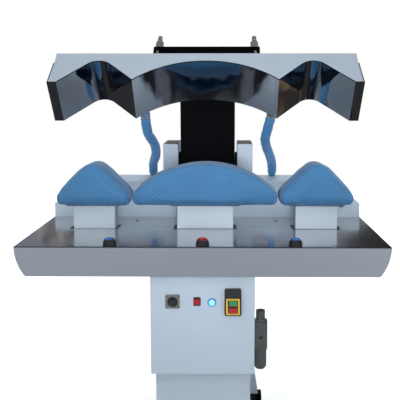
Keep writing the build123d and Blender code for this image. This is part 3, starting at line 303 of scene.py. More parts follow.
looks = {
    "enamel": painted("enamel", (0.42, 0.505, 0.60), 0.36),
    "black_paint": painted("black_paint", (0.0018, 0.0018, 0.0024), 0.55, 0.2, 0.0, 0.12),
    "stainless": brushed_table(),
    "polished_shoe": polished_shoe(),
    "pad_cloth": cloth("pad_cloth", (0.054, 0.195, 0.40), 0.12),
    "cast_aluminium": metal("cast_aluminium", (0.55, 0.55, 0.55), 0.45, 700, 0.35),
    "steel": metal("steel", (0.62, 0.61, 0.60), 0.26, 1200, 0.08),
    "hose_sleeve": cloth("hose_sleeve", (0.078, 0.25, 0.50), 0.3),
    "black_plastic": plastic("black_plastic", (0.018, 0.019, 0.022), 0.42, 0.25),
    "blue_plastic": plastic("blue_plastic", (0.035, 0.13, 0.42), 0.25),
    "red_plastic": plastic("red_plastic", (0.42, 0.012, 0.02), 0.25),
    "green_plastic": plastic("green_plastic", (0.03, 0.23, 0.09), 0.3),
    "yellow_plastic": plastic("yellow_plastic", (0.66, 0.42, 0.03), 0.35, 0.1),
    "grey_plastic": plastic("grey_plastic", (0.17, 0.17, 0.15), 0.45, 0.2),
    "bezel_chrome": metal("bezel_chrome", (0.25, 0.42, 0.70), 0.15, 1500, 0.03),
    "blue_lens": lit_lens(),
    "smoked_bowl": plastic("smoked_bowl", (0.085, 0.09, 0.09), 0.3, 0.05, Coat_Weight=0.3),
    # A whiter enamel for the posts, also made lighter as painted light, standing in for the light the pads
    # shade off them
    "post_enamel_and_painted_light": painted("post_enamel_and_painted_light", (0.58, 0.68, 0.78), 0.36),
    # Painted light: a lighter copy of the enamel, standing in for light that the cheeks and rear boxes don't
    # get
    "rear_enamel_painted_light": painted("rear_enamel_painted_light", (0.53, 0.63, 0.74), 0.36),
    "regulator_grey": plastic("regulator_grey", (0.085, 0.092, 0.09), 0.45, 0.2),
    "cheek_cap": plastic("cheek_cap", (0.12, 0.125, 0.13), 0.6, 0.3),
}
# Nodes that look a little different from the rest of their slot: the regulator in its own grey, the posts in
# a whiter enamel that is also lightened as painted light for the shade of the pads, and the cheeks and rear
# boxes in a lighter copy of the enamel as painted light
finer_looks = {
    "regulator_knob": "regulator_grey",
    "regulator_body": "regulator_grey",
    "collar_post": "post_enamel_and_painted_light",
    "cuff_post_left": "post_enamel_and_painted_light",
    "cuff_post_right": "post_enamel_and_painted_light",
    "pivot_cheek_left": "rear_enamel_painted_light",
    "pivot_cheek_right": "rear_enamel_painted_light",
    "rear_upper_box": "rear_enamel_painted_light",
    "rear_housing": "rear_enamel_painted_light",
}

for entry in frame["record"]["subparts"]:
    node = frame["nodes"][entry["node"]]
    node.data.materials.clear()
    node.data.materials.append(looks[finer_looks.get(entry["node"], entry["material_slot"])])


# Building blocks
def box_of(node):
    """The low and the high corner of a node of the CAD."""
    return [Vector(corner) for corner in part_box(node)]


def piece(name, slot, vertices, faces, smooth=True):
    """A new object from vertices and faces, in one of the looks."""
    mesh = bpy.data.meshes.new(name)
    mesh.from_pydata([tuple(v) for v in vertices], [], faces)
    mesh.update()
    made = bpy.data.objects.new(name, mesh)
    bpy.context.scene.collection.objects.link(made)
    finish_mesh(made, slot, smooth)
    return made


def thickened(name, slot, vertices, faces, way):
    """A flat sheet given depth along way."""
    count = len(vertices)
    used = {(face[i - 1], face[i]) for face in faces for i in range(len(face))}
    border = [(a, b) for a, b in used if (b, a) not in used]
    walls = [(a, b, b + count, a + count) for a, b in sorted(border)]
    back = [tuple(i + count for i in reversed(face)) for face in faces]
    return piece(name, slot, vertices + [v + way for v in vertices], faces + back + walls, smooth=False)


def pierced(name, slot, across, up, holes, spot_of, way):
    """A thin plate on a grid of lines, with the named cells (column, row) left open."""
    columns = len(across)
    vertices = [spot_of(a, b) for b in up for a in across]
    faces = []
    for row in range(len(up) - 1):
        for column in range(columns - 1):
            if (column, row) not in holes:
                first = row * columns + column
                faces.append((first, first + 1, first + 1 + columns, first + columns))
    return thickened(name, slot, vertices, faces, way)


def finish_mesh(made, slot, smooth=True, sharp=40):
    """Face the mesh outwards, keep its sharp edges, and give it its look and slot."""
    form = bmesh.new()
    form.from_mesh(made.data)
    bmesh.ops.recalc_face_normals(form, faces=form.faces)
    for edge in form.edges:
        edge.smooth = len(edge.link_faces) != 2 or edge.calc_face_angle(0) < math.radians(sharp)
    for face in form.faces:
        face.smooth = smooth
    form.to_mesh(made.data)
    form.free()
    made.data.materials.clear()
    made.data.materials.append(looks[slot])


def evaluated(made):
    """The object's mesh with its modifiers applied."""
    graph = bpy.context.evaluated_depsgraph_get()
    mesh = bpy.data.meshes.new_from_object(made.evaluated_get(graph))
    made.modifiers.clear()
    old = made.data
    made.data = mesh
    bpy.data.meshes.remove(old)


def tube(name, slot, centres, radius_at, sides=24, closed=False):
    """A tube round a line of points, whose radius may differ along it and round it."""
    rings = []
    count = len(centres)
    before = None
    for i, here in enumerate(centres):
        ahead = centres[(i + 1) % count] if closed or i < count - 1 else here
        behind = centres[i - 1] if closed or i else here
        way = (ahead - behind).normalized()
        if before is None:
            across = way.orthogonal().normalized()
        else:
            across = (before - way * before.dot(way)).normalized()
        before = across
        other = way.cross(across)
        ring = []
        for k in range(sides):
            turn = 2 * math.pi * k / sides
            out = across * math.cos(turn) + other * math.sin(turn)
            ring.append(here + out * radius_at(i, turn, out))
        rings.append(ring)
    vertices = [v for ring in rings for v in ring]
    faces = []
    for i in range(count if closed else count - 1):
        j = (i + 1) % count
        for k in range(sides):
            n = (k + 1) % sides
            faces.append((i * sides + k, i * sides + n, j * sides + n, j * sides + k))
    if not closed:
        faces.append(tuple(range(sides)))
        faces.append(tuple(range((count - 1) * sides, count * sides)))
    return piece(name, slot, vertices, faces)


def turned(name, slot, centre, axis, profile, sides=40):
    """A turned piece: profile has pairs of distance along the axis and radius."""
    axis = Vector(axis).normalized()
    across = axis.orthogonal().normalized()
    other = axis.cross(across)
    vertices = []
    for along, radius in profile:
        for k in range(sides):
            turn = 2 * math.pi * k / sides
            out = across * math.cos(turn) + other * math.sin(turn)
            vertices.append(Vector(centre) + axis * along + out * radius)
    faces = []
    for i in range(len(profile) - 1):
        for k in range(sides):
            n = (k + 1) % sides
            faces.append((i * sides + k, i * sides + n, (i + 1) * sides + n, (i + 1) * sides + k))
    faces.append(tuple(range(sides)))
    faces.append(tuple(range((len(profile) - 1) * sides, len(profile) * sides)))
    return piece(name, slot, vertices, faces)


# Hoses in cloth sleeves
def in_room(point):
    """A point of a route, which is in millimetres from the table's front edge and top."""
    return Vector((point[0] / 1000, point[1] / 1000 + FRONT_Y, point[2] / 1000 + TABLE_Z))


# The routes are those of the CAD, from the head down to the upper box
steam_route = [
    (-240, 584, 401),
    (-241, 609, 371),
    (-238, 650, 325),
    (-215, 722, 281),
    (-222, 830, 222),
    (-246, 913, 186),
    (-247, 948, 151),
]
return_route = [
    (252, 584, 401),
    (246, 609, 371),
    (233, 660, 316),
    (240, 735, 274),
    (262, 830, 228),
    (277, 913, 186),
    (279, 948, 151),
]


def smooth_line(name, points, step):
    """Points every step along the NURBS spline that has the route as its control points."""
    curve = bpy.data.curves.new(name, "CURVE")
    curve.dimensions = "3D"
    curve.resolution_u = 24
    spline = curve.splines.new("NURBS")
    spline.points.add(len(points) - 1)
    for spot, point in zip(spline.points, points):
        spot.co = (*point, 1)
    spline.order_u = 3
    spline.use_endpoint_u = True
    carrier = bpy.data.objects.new(name, curve)
    bpy.context.scene.collection.objects.link(carrier)
    graph = bpy.context.evaluated_depsgraph_get()
    mesh = bpy.data.meshes.new_from_object(carrier.evaluated_get(graph))
    line = [v.co.copy() for v in mesh.vertices]
    bpy.data.objects.remove(carrier)
    bpy.data.meshes.remove(mesh)
    runs = [(b - a).length for a, b in zip(line, line[1:])]
    total = sum(runs)
    count = round(total / step)
    even, at, passed = [], 0, 0.0
    for i in range(count + 1):
        wanted = total * i / count
        while at < len(runs) - 1 and passed + runs[at] < wanted:
            passed += runs[at]
            at += 1
        even.append(line[at].lerp(line[at + 1], min(1, (wanted - passed) / runs[at])))
    return even, total


for name, route, seed in (("steam_hose", steam_route, 3.1), ("return_hose", return_route, 8.7)):
    line, length = smooth_line(name + "_line", [in_room(p) for p in route], SLEEVE_STEP)
    kinks = []
    # The cloth kinks at the third and fourth points of the route, on opposite sides
    for index, side in ((2, 1), (3, -1)):
        bend = in_room(route[index])
        nearest = min(range(len(line)), key=lambda i: (line[i] - bend).length)
        kinks.append((nearest / (len(line) - 1) * length, side))

    def sleeve_radius(i, turn, out):
        """Loose cloth: long soft folds, slanting creases, kinks at the bends, and drawn in at both ends."""
        along = i / (len(line) - 1)
        s = along * length
        soft = noise.noise(Vector((s * 16 + seed, out.x * 1.3, out.z * 1.3)))
        slant = noise.noise(Vector((s * 42 + out.x * 1.6 + seed * 2, out.y * 1.1, out.z * 1.1)))
        crease = (1 - abs(slant) * 3.2) if abs(slant) < 0.3125 else 0
        pinch = 0.0
        for at, side in kinks:
            pinch += math.exp(-(((s - at - 0.006 * out.y) / KINK_WIDTH) ** 2)) * max(0.0, out.x * side)
        ends = min(1, min(along, 1 - along) * length / SLEEVE_END_LENGTH)
        flat = 0.0024 * out.x**2 - 0.0006
        relief = 0.0016 * soft - 0.0028 * crease**2 - KINK_DEPTH * pinch + flat
        return HOSE_R - SLEEVE_END_TUCK * (1 - ends) + (SLEEVE_LOOSE + relief) * ends

    hose = tube(name + "_sleeve", "hose_sleeve", line, sleeve_radius, 40)
    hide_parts(name)
    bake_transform(hose)


# The sleeves end in cloth cuffs over the fittings, but the return hose's fitting at the head is bare
def cloth_cuff(name, end, way, length, body, seed):
    """A short cuff from end along way, drawn in towards its far end."""
    steps = 12
    line = [end + way * (length * i / steps) for i in range(steps + 1)]

    def cuff_radius(i, turn, out):
        crumple = noise.noise(Vector((out.x * 2.2, out.y * 2.2, i * 0.3 + seed)))
        return HOSE_R + 0.0006 - 0.004 * (i / steps) ** 2 + 0.0012 * crumple

    cuff = tube(name, "hose_sleeve", line, cuff_radius, 40)
    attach(cuff, body)


for name, route, seed in (("steam", steam_route, 1.0), ("return", return_route, 4.0)):
    foot = in_room(route[-1])
    cloth_cuff(name + "_foot_cuff", foot + Vector((0, 0, 0.002)), Vector((0, 0, -1)), 0.0255, "stand", seed)
    top = in_room(route[0])
    way = (top - in_room(route[1])).normalized()
    if name == "steam":
        cloth_cuff("steam_head_cuff", top - way * 0.002, way, 0.022, "head", seed + 2)
    else:
        profile = [(0.0, 0.0125), (0.001, 0.0150), (0.014, 0.0150), (0.015, 0.0135)]
        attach(turned("return_head_nut", "black_plastic", top, way, profile), "head")
        profile = [(0.0155, 0.0135), (0.016, 0.0160), (0.019, 0.0160), (0.0195, 0.0135)]
        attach(turned("return_head_ring", "steel", top, way, profile), "head")

# Camera, matched to the photo
camera_data = bpy.data.cameras.new("camera")
camera_data.sensor_width = 36
camera_data.lens = 67.5
camera_data.shift_x = -0.0425
camera_data.clip_end = 60
camera = bpy.data.objects.new("camera", camera_data)
camera.location = (0.079, -2.8647, 1.4374)
camera.rotation_euler = (math.radians(90 - 8.27), 0, math.radians(0.75))
bpy.context.scene.collection.objects.link(camera)
bpy.context.scene.camera = camera


# Pads
def low_corners(half, inset):
    """The underside with its two round corners, from the left side to the right."""
    low_z = PAD_BOTTOM_Z + LOW_EDGE_SHARE * inset
    radius = PAD_CORNER_R - inset / 2
    points = []
    for side in (-1, 1):
        for i in range(7):
            turn = math.radians(15 * i if side < 0 else 90 - 15 * i)
            x = side * (half - radius + radius * math.cos(turn))
            points.append((x, low_z + radius * (1 - math.sin(turn))))
    return points


def collar_pad_outline(inset):
    """The collar pad's front view, drawn in by inset, in X and Z."""
    radius = COLLAR_R - PAD_CROWN_GAP - inset
    centre_z = VALLEY_Z + ARCH_RISE - COLLAR_R
    half = VALLEY_X - PAD_SIDE_GAP - inset
    steps = 96
    points = []
    for i in range(steps + 1):
        x = half * (1 - 2 * i / steps)
        points.append((x, centre_z + math.sqrt(radius**2 - x * x)))
    return points + low_corners(half, inset)


def cuff_pad_outline(inset):
    """A cuff pad's front view about its own middle, drawn in by inset."""
    centre_up = ARCH_RISE - CUFF_CROWN_R
    reach = math.hypot(CUFF_HALF, centre_up)
    slope = math.atan2(centre_up, CUFF_HALF) + math.asin(CUFF_CROWN_R / reach)
    radius = CUFF_CROWN_R - PAD_CROWN_GAP - inset
    centre_z = VALLEY_Z + centre_up
    half = CUFF_HALF + PAD_SIDE_GAP / 2 - inset
    crown_x, crown_z = radius * math.sin(slope), centre_z + radius * math.cos(slope)
    side_z = crown_z - (half - crown_x) * math.tan(slope)
    points = [(half, side_z)]
    for i in range(25):
        turn = slope * (1 - i / 12)
        points.append((radius * math.sin(turn), centre_z + radius * math.cos(turn)))
    return points + [(-half, side_z)] + low_corners(half, inset)


def start_pad(name, outline_of, middle_x, inset):
    """The pad's form with its front and back edges rounded over, remeshed and eased."""
    front_y = BUCK_Y - PAD_DEPTH / 2 + inset
    rings = []
    for i in range(6):
        turn = math.radians(90 * i / 5)
        drawn_in = inset + PAD_EDGE_R * (1 - math.sin(turn))
        rings.append((front_y + PAD_EDGE_R * (1 - math.cos(turn)), outline_of(drawn_in)))
    rings += [(2 * BUCK_Y - y, outline) for y, outline in reversed(rings)]
    count = len(rings[0][1])
    vertices = [(middle_x + x, y, z) for y, outline in rings for x, z in outline]
    last = len(vertices) - count
    faces = [tuple(range(count)), tuple(range(last, last + count))]
    for row in range(len(rings) - 1):
        for i in range(count):
            n = (i + 1) % count
            faces.append((row * count + i, row * count + n, (row + 1) * count + n, (row + 1) * count + i))
    pad = piece(name, "pad_cloth", vertices, faces)
    remesh = pad.modifiers.new("remesh", "REMESH")
    remesh.mode = "VOXEL"
    remesh.voxel_size = 0.0046
    ease = pad.modifiers.new("ease", "SMOOTH")
    ease.factor = 0.5
    ease.iterations = 8
    evaluated(pad)
    return pad


def swell(pad, cap):
    """Cloth under pressure, held low down. No point moves further than cap, or sinks into the padding."""
    start = [(v.co.copy(), v.normal.copy()) for v in pad.data.vertices]
    held = pad.vertex_groups.new(name="held")
    held.add([i for i, (p, normal) in enumerate(start) if p.z < PAD_BOTTOM_Z + HELD_BAND], 1.0, "ADD")
    cloth_sim = pad.modifiers.new("cloth", "CLOTH")
    cloth_sim.settings.quality = 4
    cloth_sim.settings.mass = 0.3
    cloth_sim.settings.tension_stiffness = 15
    cloth_sim.settings.bending_stiffness = 0.5
    cloth_sim.settings.use_pressure = True
    cloth_sim.settings.uniform_pressure_force = 4
    cloth_sim.settings.effector_weights.gravity = 0
    cloth_sim.settings.vertex_group_mass = "held"
    for number in range(1, 21):
        bpy.context.scene.frame_set(number)
    evaluated(pad)
    for vertex, (old, normal) in zip(pad.data.vertices, start):
        moved = vertex.co - old
        moved -= normal * min(0.0, moved.dot(normal) + SINK_LIMIT)
        vertex.co = old + moved * min(1.0, cap / max(moved.length, 1e-9))
    bpy.context.scene.frame_set(1)


def gathers(pad, middle_x, half, ruffle, seed):
    """Folds that fan up from the drawn in hem and die out, over the padding's broad unevenness."""
    normals = [v.normal.copy() for v in pad.data.vertices]
    for vertex, normal in zip(pad.data.vertices, normals):
        up = max(0.0, vertex.co.z - PAD_BOTTOM_Z)
        x = vertex.co.x - middle_x
        y = vertex.co.y - BUCK_Y
        reach = FOLD_REACH * (1 + 0.8 * noise.noise(Vector((x * 16 + seed, y * 16, seed))))
        outward = min(1, abs(x) / (half * 0.8)) ** 1.5
        share = math.exp(-((up / reach) ** 2)) * (0.2 + 0.8 * outward) * math.hypot(normal.x, normal.y)
        fan = 1 + up / FOLD_FAN
        wobble = 0.3 * noise.noise(Vector((x * 30, y * 30, seed)))
        across = math.sin(2 * math.pi * (x / fan / FOLD_PITCH + wobble))
        along = math.sin(2 * math.pi * (y / fan / FOLD_PITCH + wobble))
        fold = across * abs(normal.y) + along * abs(normal.x)
        crease = FOLD_DEPTH * ruffle * share * (1 - min(1, abs(fold))) ** 1.4
        dent = DENT_DEPTH * noise.noise(Vector((x * 9 + seed, y * 9, up * 12)))
        low = math.exp(-((up / HEM_WAVE_REACH) ** 2))
        vertex.co.z += HEM_WAVE * low * noise.noise(Vector((x * 26, y * 26, seed)))
        vertex.co -= normal * (crease + dent)


def open_below(pad, middle_x, half_x, half_y):
    """Cut the opening round middle_x that the post and the buck's underside show through."""
    form = bmesh.new()
    form.from_mesh(pad.data)
    inside = []
    for face in form.faces:
        middle = face.calc_center_median()
        low = middle.z < PAD_BOTTOM_Z + HELD_BAND
        if low and abs(middle.x - middle_x) < half_x and abs(middle.y - BUCK_Y) < half_y:
            inside.append(face)
    bmesh.ops.delete(form, geom=inside, context="FACES")
    form.to_mesh(pad.data)
    form.free()


def rounded_loop(centre, half_x, half_y, corner, step):
    """Points round a rectangle with round corners, at the centre's height."""
    spots = []
    for sx, sy, start in ((1, 1, 0), (-1, 1, 90), (-1, -1, 180), (1, -1, 270)):
        middle = Vector((sx * (half_x - corner), sy * (half_y - corner), 0))
        for i in range(9):
            turn = math.radians(start + 90 * i / 8)
            spots.append(centre + middle + Vector((math.cos(turn), math.sin(turn), 0)) * corner)
    even = []
    for a, b in zip(spots, spots[1:] + spots[:1]):
        parts = max(1, round((b - a).length / step))
        even += [a.lerp(b, i / parts) for i in range(parts)]
    return even


for name, middle_x, outline_of, half, post, ruffle, seed in (
    ("collar_pad", 0.0, collar_pad_outline, VALLEY_X, "collar", 1.0, 2.0),
    ("cuff_pad_left", -CUFF_X, cuff_pad_outline, CUFF_HALF, "cuff", 0.6, 5.0),
    ("cuff_pad_right", CUFF_X, cuff_pad_outline, CUFF_HALF, "cuff", 1.2, 9.0),
):
    post_x = 0.0 if middle_x == 0 else math.copysign(CUFF_POST_X, middle_x)
    mouth_half, mouth_half_depth = POST_HALF[post] + MOUTH_SIDE, POST_DEPTH / 2 + MOUTH_END
    cover = start_pad(name + "_cover", outline_of, middle_x, PAD_START_INSET)
    swell(cover, SWELL_CAP)
    finer = cover.modifiers.new("finer", "SUBSURF")
    finer.levels = finer.render_levels = 1
    evaluated(cover)
    gathers(cover, middle_x, half, ruffle, seed)
    open_below(cover, post_x, mouth_half, mouth_half_depth)
    finish_mesh(cover, "pad_cloth", sharp=180)
    thick = cover.modifiers.new("thick", "SOLIDIFY")
    thick.thickness = CLOTH_T
    thick.offset = -1
    evaluated(cover)
    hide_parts(name)
    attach(cover, "stand")
    hem_centre = Vector((post_x, BUCK_Y, PAD_BOTTOM_Z + 0.001))
    loop = rounded_loop(hem_centre, mouth_half, mouth_half_depth, MOUTH_CORNER_R, 0.003)
    hem = tube(
        name + "_hem",
        "pad_cloth",
        loop,
        lambda i, turn, out: HEM_R + 0.0009 * noise.noise(Vector((i * 0.55, turn, seed))),
        12,
        closed=True,
    )
    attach(hem, "stand")


# Head ends: painted strips close the wedge between each side of the housing and the shoe's slanted lip
def swung(x, y, z):
    """Where a point of the closed head lies when the head is open."""
    return PIVOT + Matrix.Rotation(-OPEN_ANGLE, 3, "X") @ (Vector((x, y, z)) - PIVOT)


def in_lip(up):
    """The inner face of the lip, from the feet upwards."""
    return FLANGE_X - LIP_T - (FLANGE_X - LIP_T - HOUSING_HALF) * up / LIP_HEIGHT


STRIP_GAP = 0.0003
STRIP_T = 0.002
STRIP_LOW = 0.0055
STRIP_HIGH = LIP_HEIGHT - 0.0005
for side in (-1, 1):
    for place, front in (("front", SHOE_FRONT_Y + STRIP_GAP), ("rear", SHOE_REAR_Y - STRIP_GAP - STRIP_T)):
        outline = [
            (HOUSING_HALF + STRIP_GAP, STRIP_LOW),
            (in_lip(STRIP_LOW) - STRIP_GAP, STRIP_LOW),
            (in_lip(STRIP_HIGH) + STRIP_GAP, STRIP_HIGH),
            (HOUSING_HALF + STRIP_GAP, STRIP_HIGH),
        ]
        spots = [swung(side * x, front, FEET_Z + up) for x, up in outline]
        way = swung(0, front + STRIP_T, 0) - swung(0, front, 0)
        name = "end_strip_{}_{}".format(place, "left" if side < 0 else "right")
        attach(thickened(name, "enamel", spots, [(0, 1, 2, 3)], way), "head")

# Table: a black sheet in each slot round its post, as painted shade for the deep shade in the gap, and screws
# beside the slots
SHADE_SHEET_GAP = 0.0004
SHADE_SHEET_T = 0.0008
SHADE_SHEET_Z = TABLE_Z - 0.0019
for name, middle_x, post in (
    ("slot_shade_sheet_collar", 0.0, "collar"),
    ("slot_shade_sheet_left", -CUFF_POST_X, "cuff"),
    ("slot_shade_sheet_right", CUFF_POST_X, "cuff"),
):
    inner = POST_HALF[post] + SHADE_SHEET_GAP
    outer = POST_HALF[post] + SLOT_SIDE_GAP - SHADE_SHEET_GAP
    across = [middle_x + x for x in (-outer, -inner, inner, outer)]
    near, far = BUCK_Y - POST_DEPTH / 2, BUCK_Y + POST_DEPTH / 2
    back = [near - SLOT_FRONT_GAP + SHADE_SHEET_GAP, near - SHADE_SHEET_GAP, far + SHADE_SHEET_GAP, far + SLOT_BACK_GAP - SHADE_SHEET_GAP]
    # Painted shade: a black sheet just under the table top, standing for the shade deep in the slot
    shade_sheet = pierced(
        name,
        "black_plastic",
        across,
        back,
        {(1, 1)},
        lambda x, y: Vector((x, y, SHADE_SHEET_Z)),
        Vector((0, 0, SHADE_SHEET_T)),
    )
    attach(shade_sheet, "stand")


def screw(name, slot, spot, way, radius):
    """A low domed head with a round recess, drawn in shares of its radius."""
    shares = [(0.0, 1), (0.18, 1), (0.42, 0.82), (0.5, 0.45), (0.2, 0.38)]
    made = turned(name, slot, spot, way, [(along * radius, out * radius) for along, out in shares], 24)
    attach(made, "stand")


SCREW_X = 0.268
for x in (-SCREW_X, SCREW_X):
    for y in (FRONT_Y + 0.220, FRONT_Y + 0.500):
        name = "table_screw_{}_{}".format("left" if x < 0 else "right", "front" if y < BUCK_Y else "rear")
        screw(name, "steel", (x, y, TABLE_Z), (0, 0, 1), 0.0055)

# Pivot cheeks have dark covers on top
CHEEK_EDGE = 0.0015
for side in ("left", "right"):
    low, high = box_of("pivot_cheek_" + side)
    left, right = low.x + CHEEK_EDGE, high.x - CHEEK_EDGE
    near, far = low.y + CHEEK_EDGE, high.y - CHEEK_EDGE
    spots = [Vector((x, y, high.z)) for x, y in ((left, near), (right, near), (right, far), (left, far))]
    cap = thickened("cheek_cap_" + side, "grey_plastic", spots, [(0, 1, 2, 3)], Vector((0, 0, 0.0012)))
    cap.data.materials[0] = looks["cheek_cap"]
    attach(cap, "stand")

# The cord lock that draws the right cuff cover tight
lock_profile = [(0.0, 0.0030), (0.0015, 0.0044), (0.008, 0.0050), (0.0145, 0.0044), (0.016, 0.0030)]
lock_at = (0.486, FRONT_Y + 0.326, PAD_BOTTOM_Z - 0.003)
lock = turned("cord_lock", "black_plastic", lock_at, (1, 0, 0.1), lock_profile, 20)
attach(lock, "stand")

# Controls: the timer's dial and marks, the plate behind the push buttons, and the regulator's ring
TIMER_MARKS = 12
MARK_IN = 0.0184
MARK_OUT = 0.0212
TIMER_SCREW_REACH = 0.0192
low, high = box_of("timer_body")
middle = (low + high) / 2
dial_at = Vector((middle.x, low.y, middle.z))
dial_profile = [(0.0, 0.0172), (0.0006, 0.0168), (0.0006, 0.010)]
dial = turned("timer_dial", "black_plastic", dial_at, (0, -1, 0), dial_profile)
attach(dial, "stand")
marks, faces = [], []
for i in range(TIMER_MARKS):
    turn = 2 * math.pi * i / TIMER_MARKS
    out = Vector((math.sin(turn), 0, math.cos(turn)))
    across = Vector((out.z, 0, -out.x))
    half_width = 0.0007 if i % 3 else 0.0011
    start = len(marks)
    for reach, side in ((MARK_IN, -1), (MARK_IN, 1), (MARK_OUT, 1), (MARK_OUT, -1)):
        marks.append(dial_at + out * reach + across * (side * half_width))
    faces.append(tuple(range(start, start + 4)))
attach(thickened("timer_marks", "black_plastic", marks, faces, Vector((0, -0.0004, 0))), "stand")
for sx in (-1, 1):
    for sz in (-1, 1):
        spot = dial_at + Vector((sx, 0, sz)) * TIMER_SCREW_REACH
        name = "timer_screw_{}_{}".format("left" if sx < 0 else "right", "low" if sz < 0 else "high")
        screw(name, "black_plastic", spot, (0, -1, 0), 0.0021)

PLATE_MARGIN = 0.0045
PLATE_GAP = 0.0006
PLATE_RIM = 0.0012
cover_low, _ = box_of("switch_cover")
start_low, start_high = box_of("start_button")
stop_low, stop_high = box_of("stop_button")
across = [
    start_low.x - PLATE_MARGIN,
    start_low.x - PLATE_GAP,
    start_high.x + PLATE_GAP,
    start_high.x + PLATE_MARGIN,
]
rows = [
    stop_low.z - PLATE_GAP - PLATE_RIM,
    stop_low.z - PLATE_GAP,
    stop_high.z + PLATE_GAP,
    start_low.z - PLATE_GAP,
    start_high.z + PLATE_GAP,
    start_high.z + PLATE_GAP + PLATE_RIM,
]
plate = pierced(
    "button_plate",
    "black_plastic",
    across,
    rows,
    {(1, 1), (1, 3)},
    lambda x, z: Vector((x, cover_low.y, z)),
    Vector((0, -0.0008, 0)),
)
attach(plate, "stand")

RING_STEPS = 48
knob_low, knob_high = box_of("regulator_knob")
_, body_high = box_of("regulator_body")
ring_at = Vector(((knob_low.x + knob_high.x) / 2, (knob_low.y + knob_high.y) / 2, body_high.z + 0.002))
ring_r = (knob_high.x - knob_low.x) / 2 + 0.0022
ring_line = []
for i in range(RING_STEPS):
    turn = 2 * math.pi * i / RING_STEPS
    ring_line.append(ring_at + Vector((math.cos(turn), math.sin(turn), 0)) * ring_r)
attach(tube("regulator_ring", "steel", ring_line, lambda i, turn, out: 0.0019, 12, closed=True), "stand")

# Light. The tent and its cards are only seen in reflections, as a photographer's flags are.
world = bpy.data.worlds.new("world")
world.use_nodes = True
bpy.context.scene.world = world
sky = world.node_tree
back = sky.nodes["Background"]
path = sky.nodes.new("ShaderNodeLightPath")
seen = path.outputs["Is Camera Ray"]
for kind in ("Is Glossy Ray", "Is Transmission Ray"):
    either = sky.nodes.new("ShaderNodeMath")
    either.operation = "MAXIMUM"
    sky.links.new(seen, either.inputs[0])
    sky.links.new(path.outputs[kind], either.inputs[1])
    seen = either.outputs[0]
level = sky.nodes.new("ShaderNodeMapRange")
sky.links.new(seen, level.inputs["Value"])
level.inputs["To Min"].default_value = 0.66
level.inputs["To Max"].default_value = 1.0
sky.links.new(level.outputs[0], back.inputs["Strength"])
back.inputs["Color"].default_value = (1, 1, 1, 1)


def lamp(name, spot, target, size, power, colour, spread=180):
    """A round area lamp that isn't seen in reflections."""
    data = bpy.data.lights.new(name, "AREA")
    data.shape = "DISK"
    data.size = size
    data.energy = power
    data.color = colour
    data.spread = math.radians(spread)
    made = bpy.data.objects.new(name, data)
    made.location = spot
    made.rotation_euler = (Vector(target) - Vector(spot)).to_track_quat("-Z", "Y").to_euler()
    made.visible_glossy = False
    bpy.context.scene.collection.objects.link(made)


lamp("key", (-1.6, -3.0, 4.0), (0, -0.1, 1.1), 1.6, 26, (1.0, 0.98, 0.95))
lamp("fill", (2.6, -2.6, 2.0), (0, 0, 1.0), 2.4, 10, (0.93, 0.96, 1.0))
lamp("front", (0.3, -4.4, 1.12), (0, -0.1, 1.12), 0.8, 2.3, (0.97, 0.985, 1.0), 30)
lamp("rim", (0.3, 1.9, 3.6), (0, 0.1, 1.1), 2.0, 48, (1.0, 1.0, 1.0))

# The pilot lens throws a little blue light on the panel round it
PILOT_GLOW_GAP = 0.015
lens_low, lens_high = box_of("pilot_lens")
glow = bpy.data.lights.new("pilot_glow", "POINT")
glow.energy = 0.006
glow.color = (0.25, 0.5, 1.0)
glow.shadow_soft_size = 0.006
pilot_glow = bpy.data.objects.new("pilot_glow", glow)
pilot_glow.location = (lens_low + lens_high) / 2
pilot_glow.location.y = lens_low.y - PILOT_GLOW_GAP
bpy.context.scene.collection.objects.link(pilot_glow)


def reflected_only(made):
    """Hide a stage piece from all but reflections."""
    made.visible_camera = False
    made.visible_diffuse = False
    made.visible_transmission = False
    made.visible_volume_scatter = False
    made.visible_shadow = False


class Glow(Look):
    """A material that only gives light, for the tent and its cards."""

    def __init__(self, name):
        super().__init__(name, (0, 0, 0), 1.0, Specular_IOR_Level=0.0, Emission_Strength=1.0)
        places = self.add("ShaderNodeSeparateXYZ", {"Vector": self.place})
        self.x, self.y, self.z = places.outputs

    def ease(self, value, low, high):
        """From 0 at low to 1 at high, with soft ends."""
        node = self.add("ShaderNodeMapRange", interpolation_type="SMOOTHSTEP")
        self.set(node, {"Value": value, "From Min": low, "From Max": high})
        return node.outputs["Result"]

    def shine(self, colour):
        """Give light of this colour."""
        self.set(self.shader, {"Emission Color": colour})


def card(name, centre, target, width, height, tone, soft=0.5, blotches=None, lean=0.0):
    """A glowing card that faces the target, fades out at its edges and may lean its left and right edges."""
    mesh = bpy.data.meshes.new(name)
    signs = ((-1, -1), (1, -1), (1, 1), (-1, 1))
    corners = [(sx * width / 2 + sy * lean / 2, sy * height / 2, 0) for sx, sy in signs]
    mesh.from_pydata(corners, [], [(0, 1, 2, 3)])
    made = bpy.data.objects.new(name, mesh)
    made.location = centre
    made.rotation_euler = (Vector(target) - Vector(centre)).to_track_quat("Z", "Y").to_euler()
    bpy.context.scene.collection.objects.link(made)
    look = Glow(name)
    upright = look.sum(look.x, look.sum(look.y, lean / height, "MULTIPLY"), "SUBTRACT")
    sides = look.ease(look.sum(upright, upright, "ABSOLUTE"), width / 2, width / 2 * (1 - soft))
    ends = look.ease(look.sum(look.y, look.y, "ABSOLUTE"), height / 2, height / 2 * (1 - soft))
    look.set(look.shader, {"Alpha": look.sum(sides, ends, "MULTIPLY")})
    if blotches:
        scale, other = blotches
        share = look.spread(look.noise(scale, 2), 0.46, 0.56, 0.0, 1.0)
        look.shine(look.mixed(share, (*tone, 1), (*other, 1)))
    else:
        look.shine((*tone, 1))
    mesh.materials.append(look.material)
    reflected_only(made)


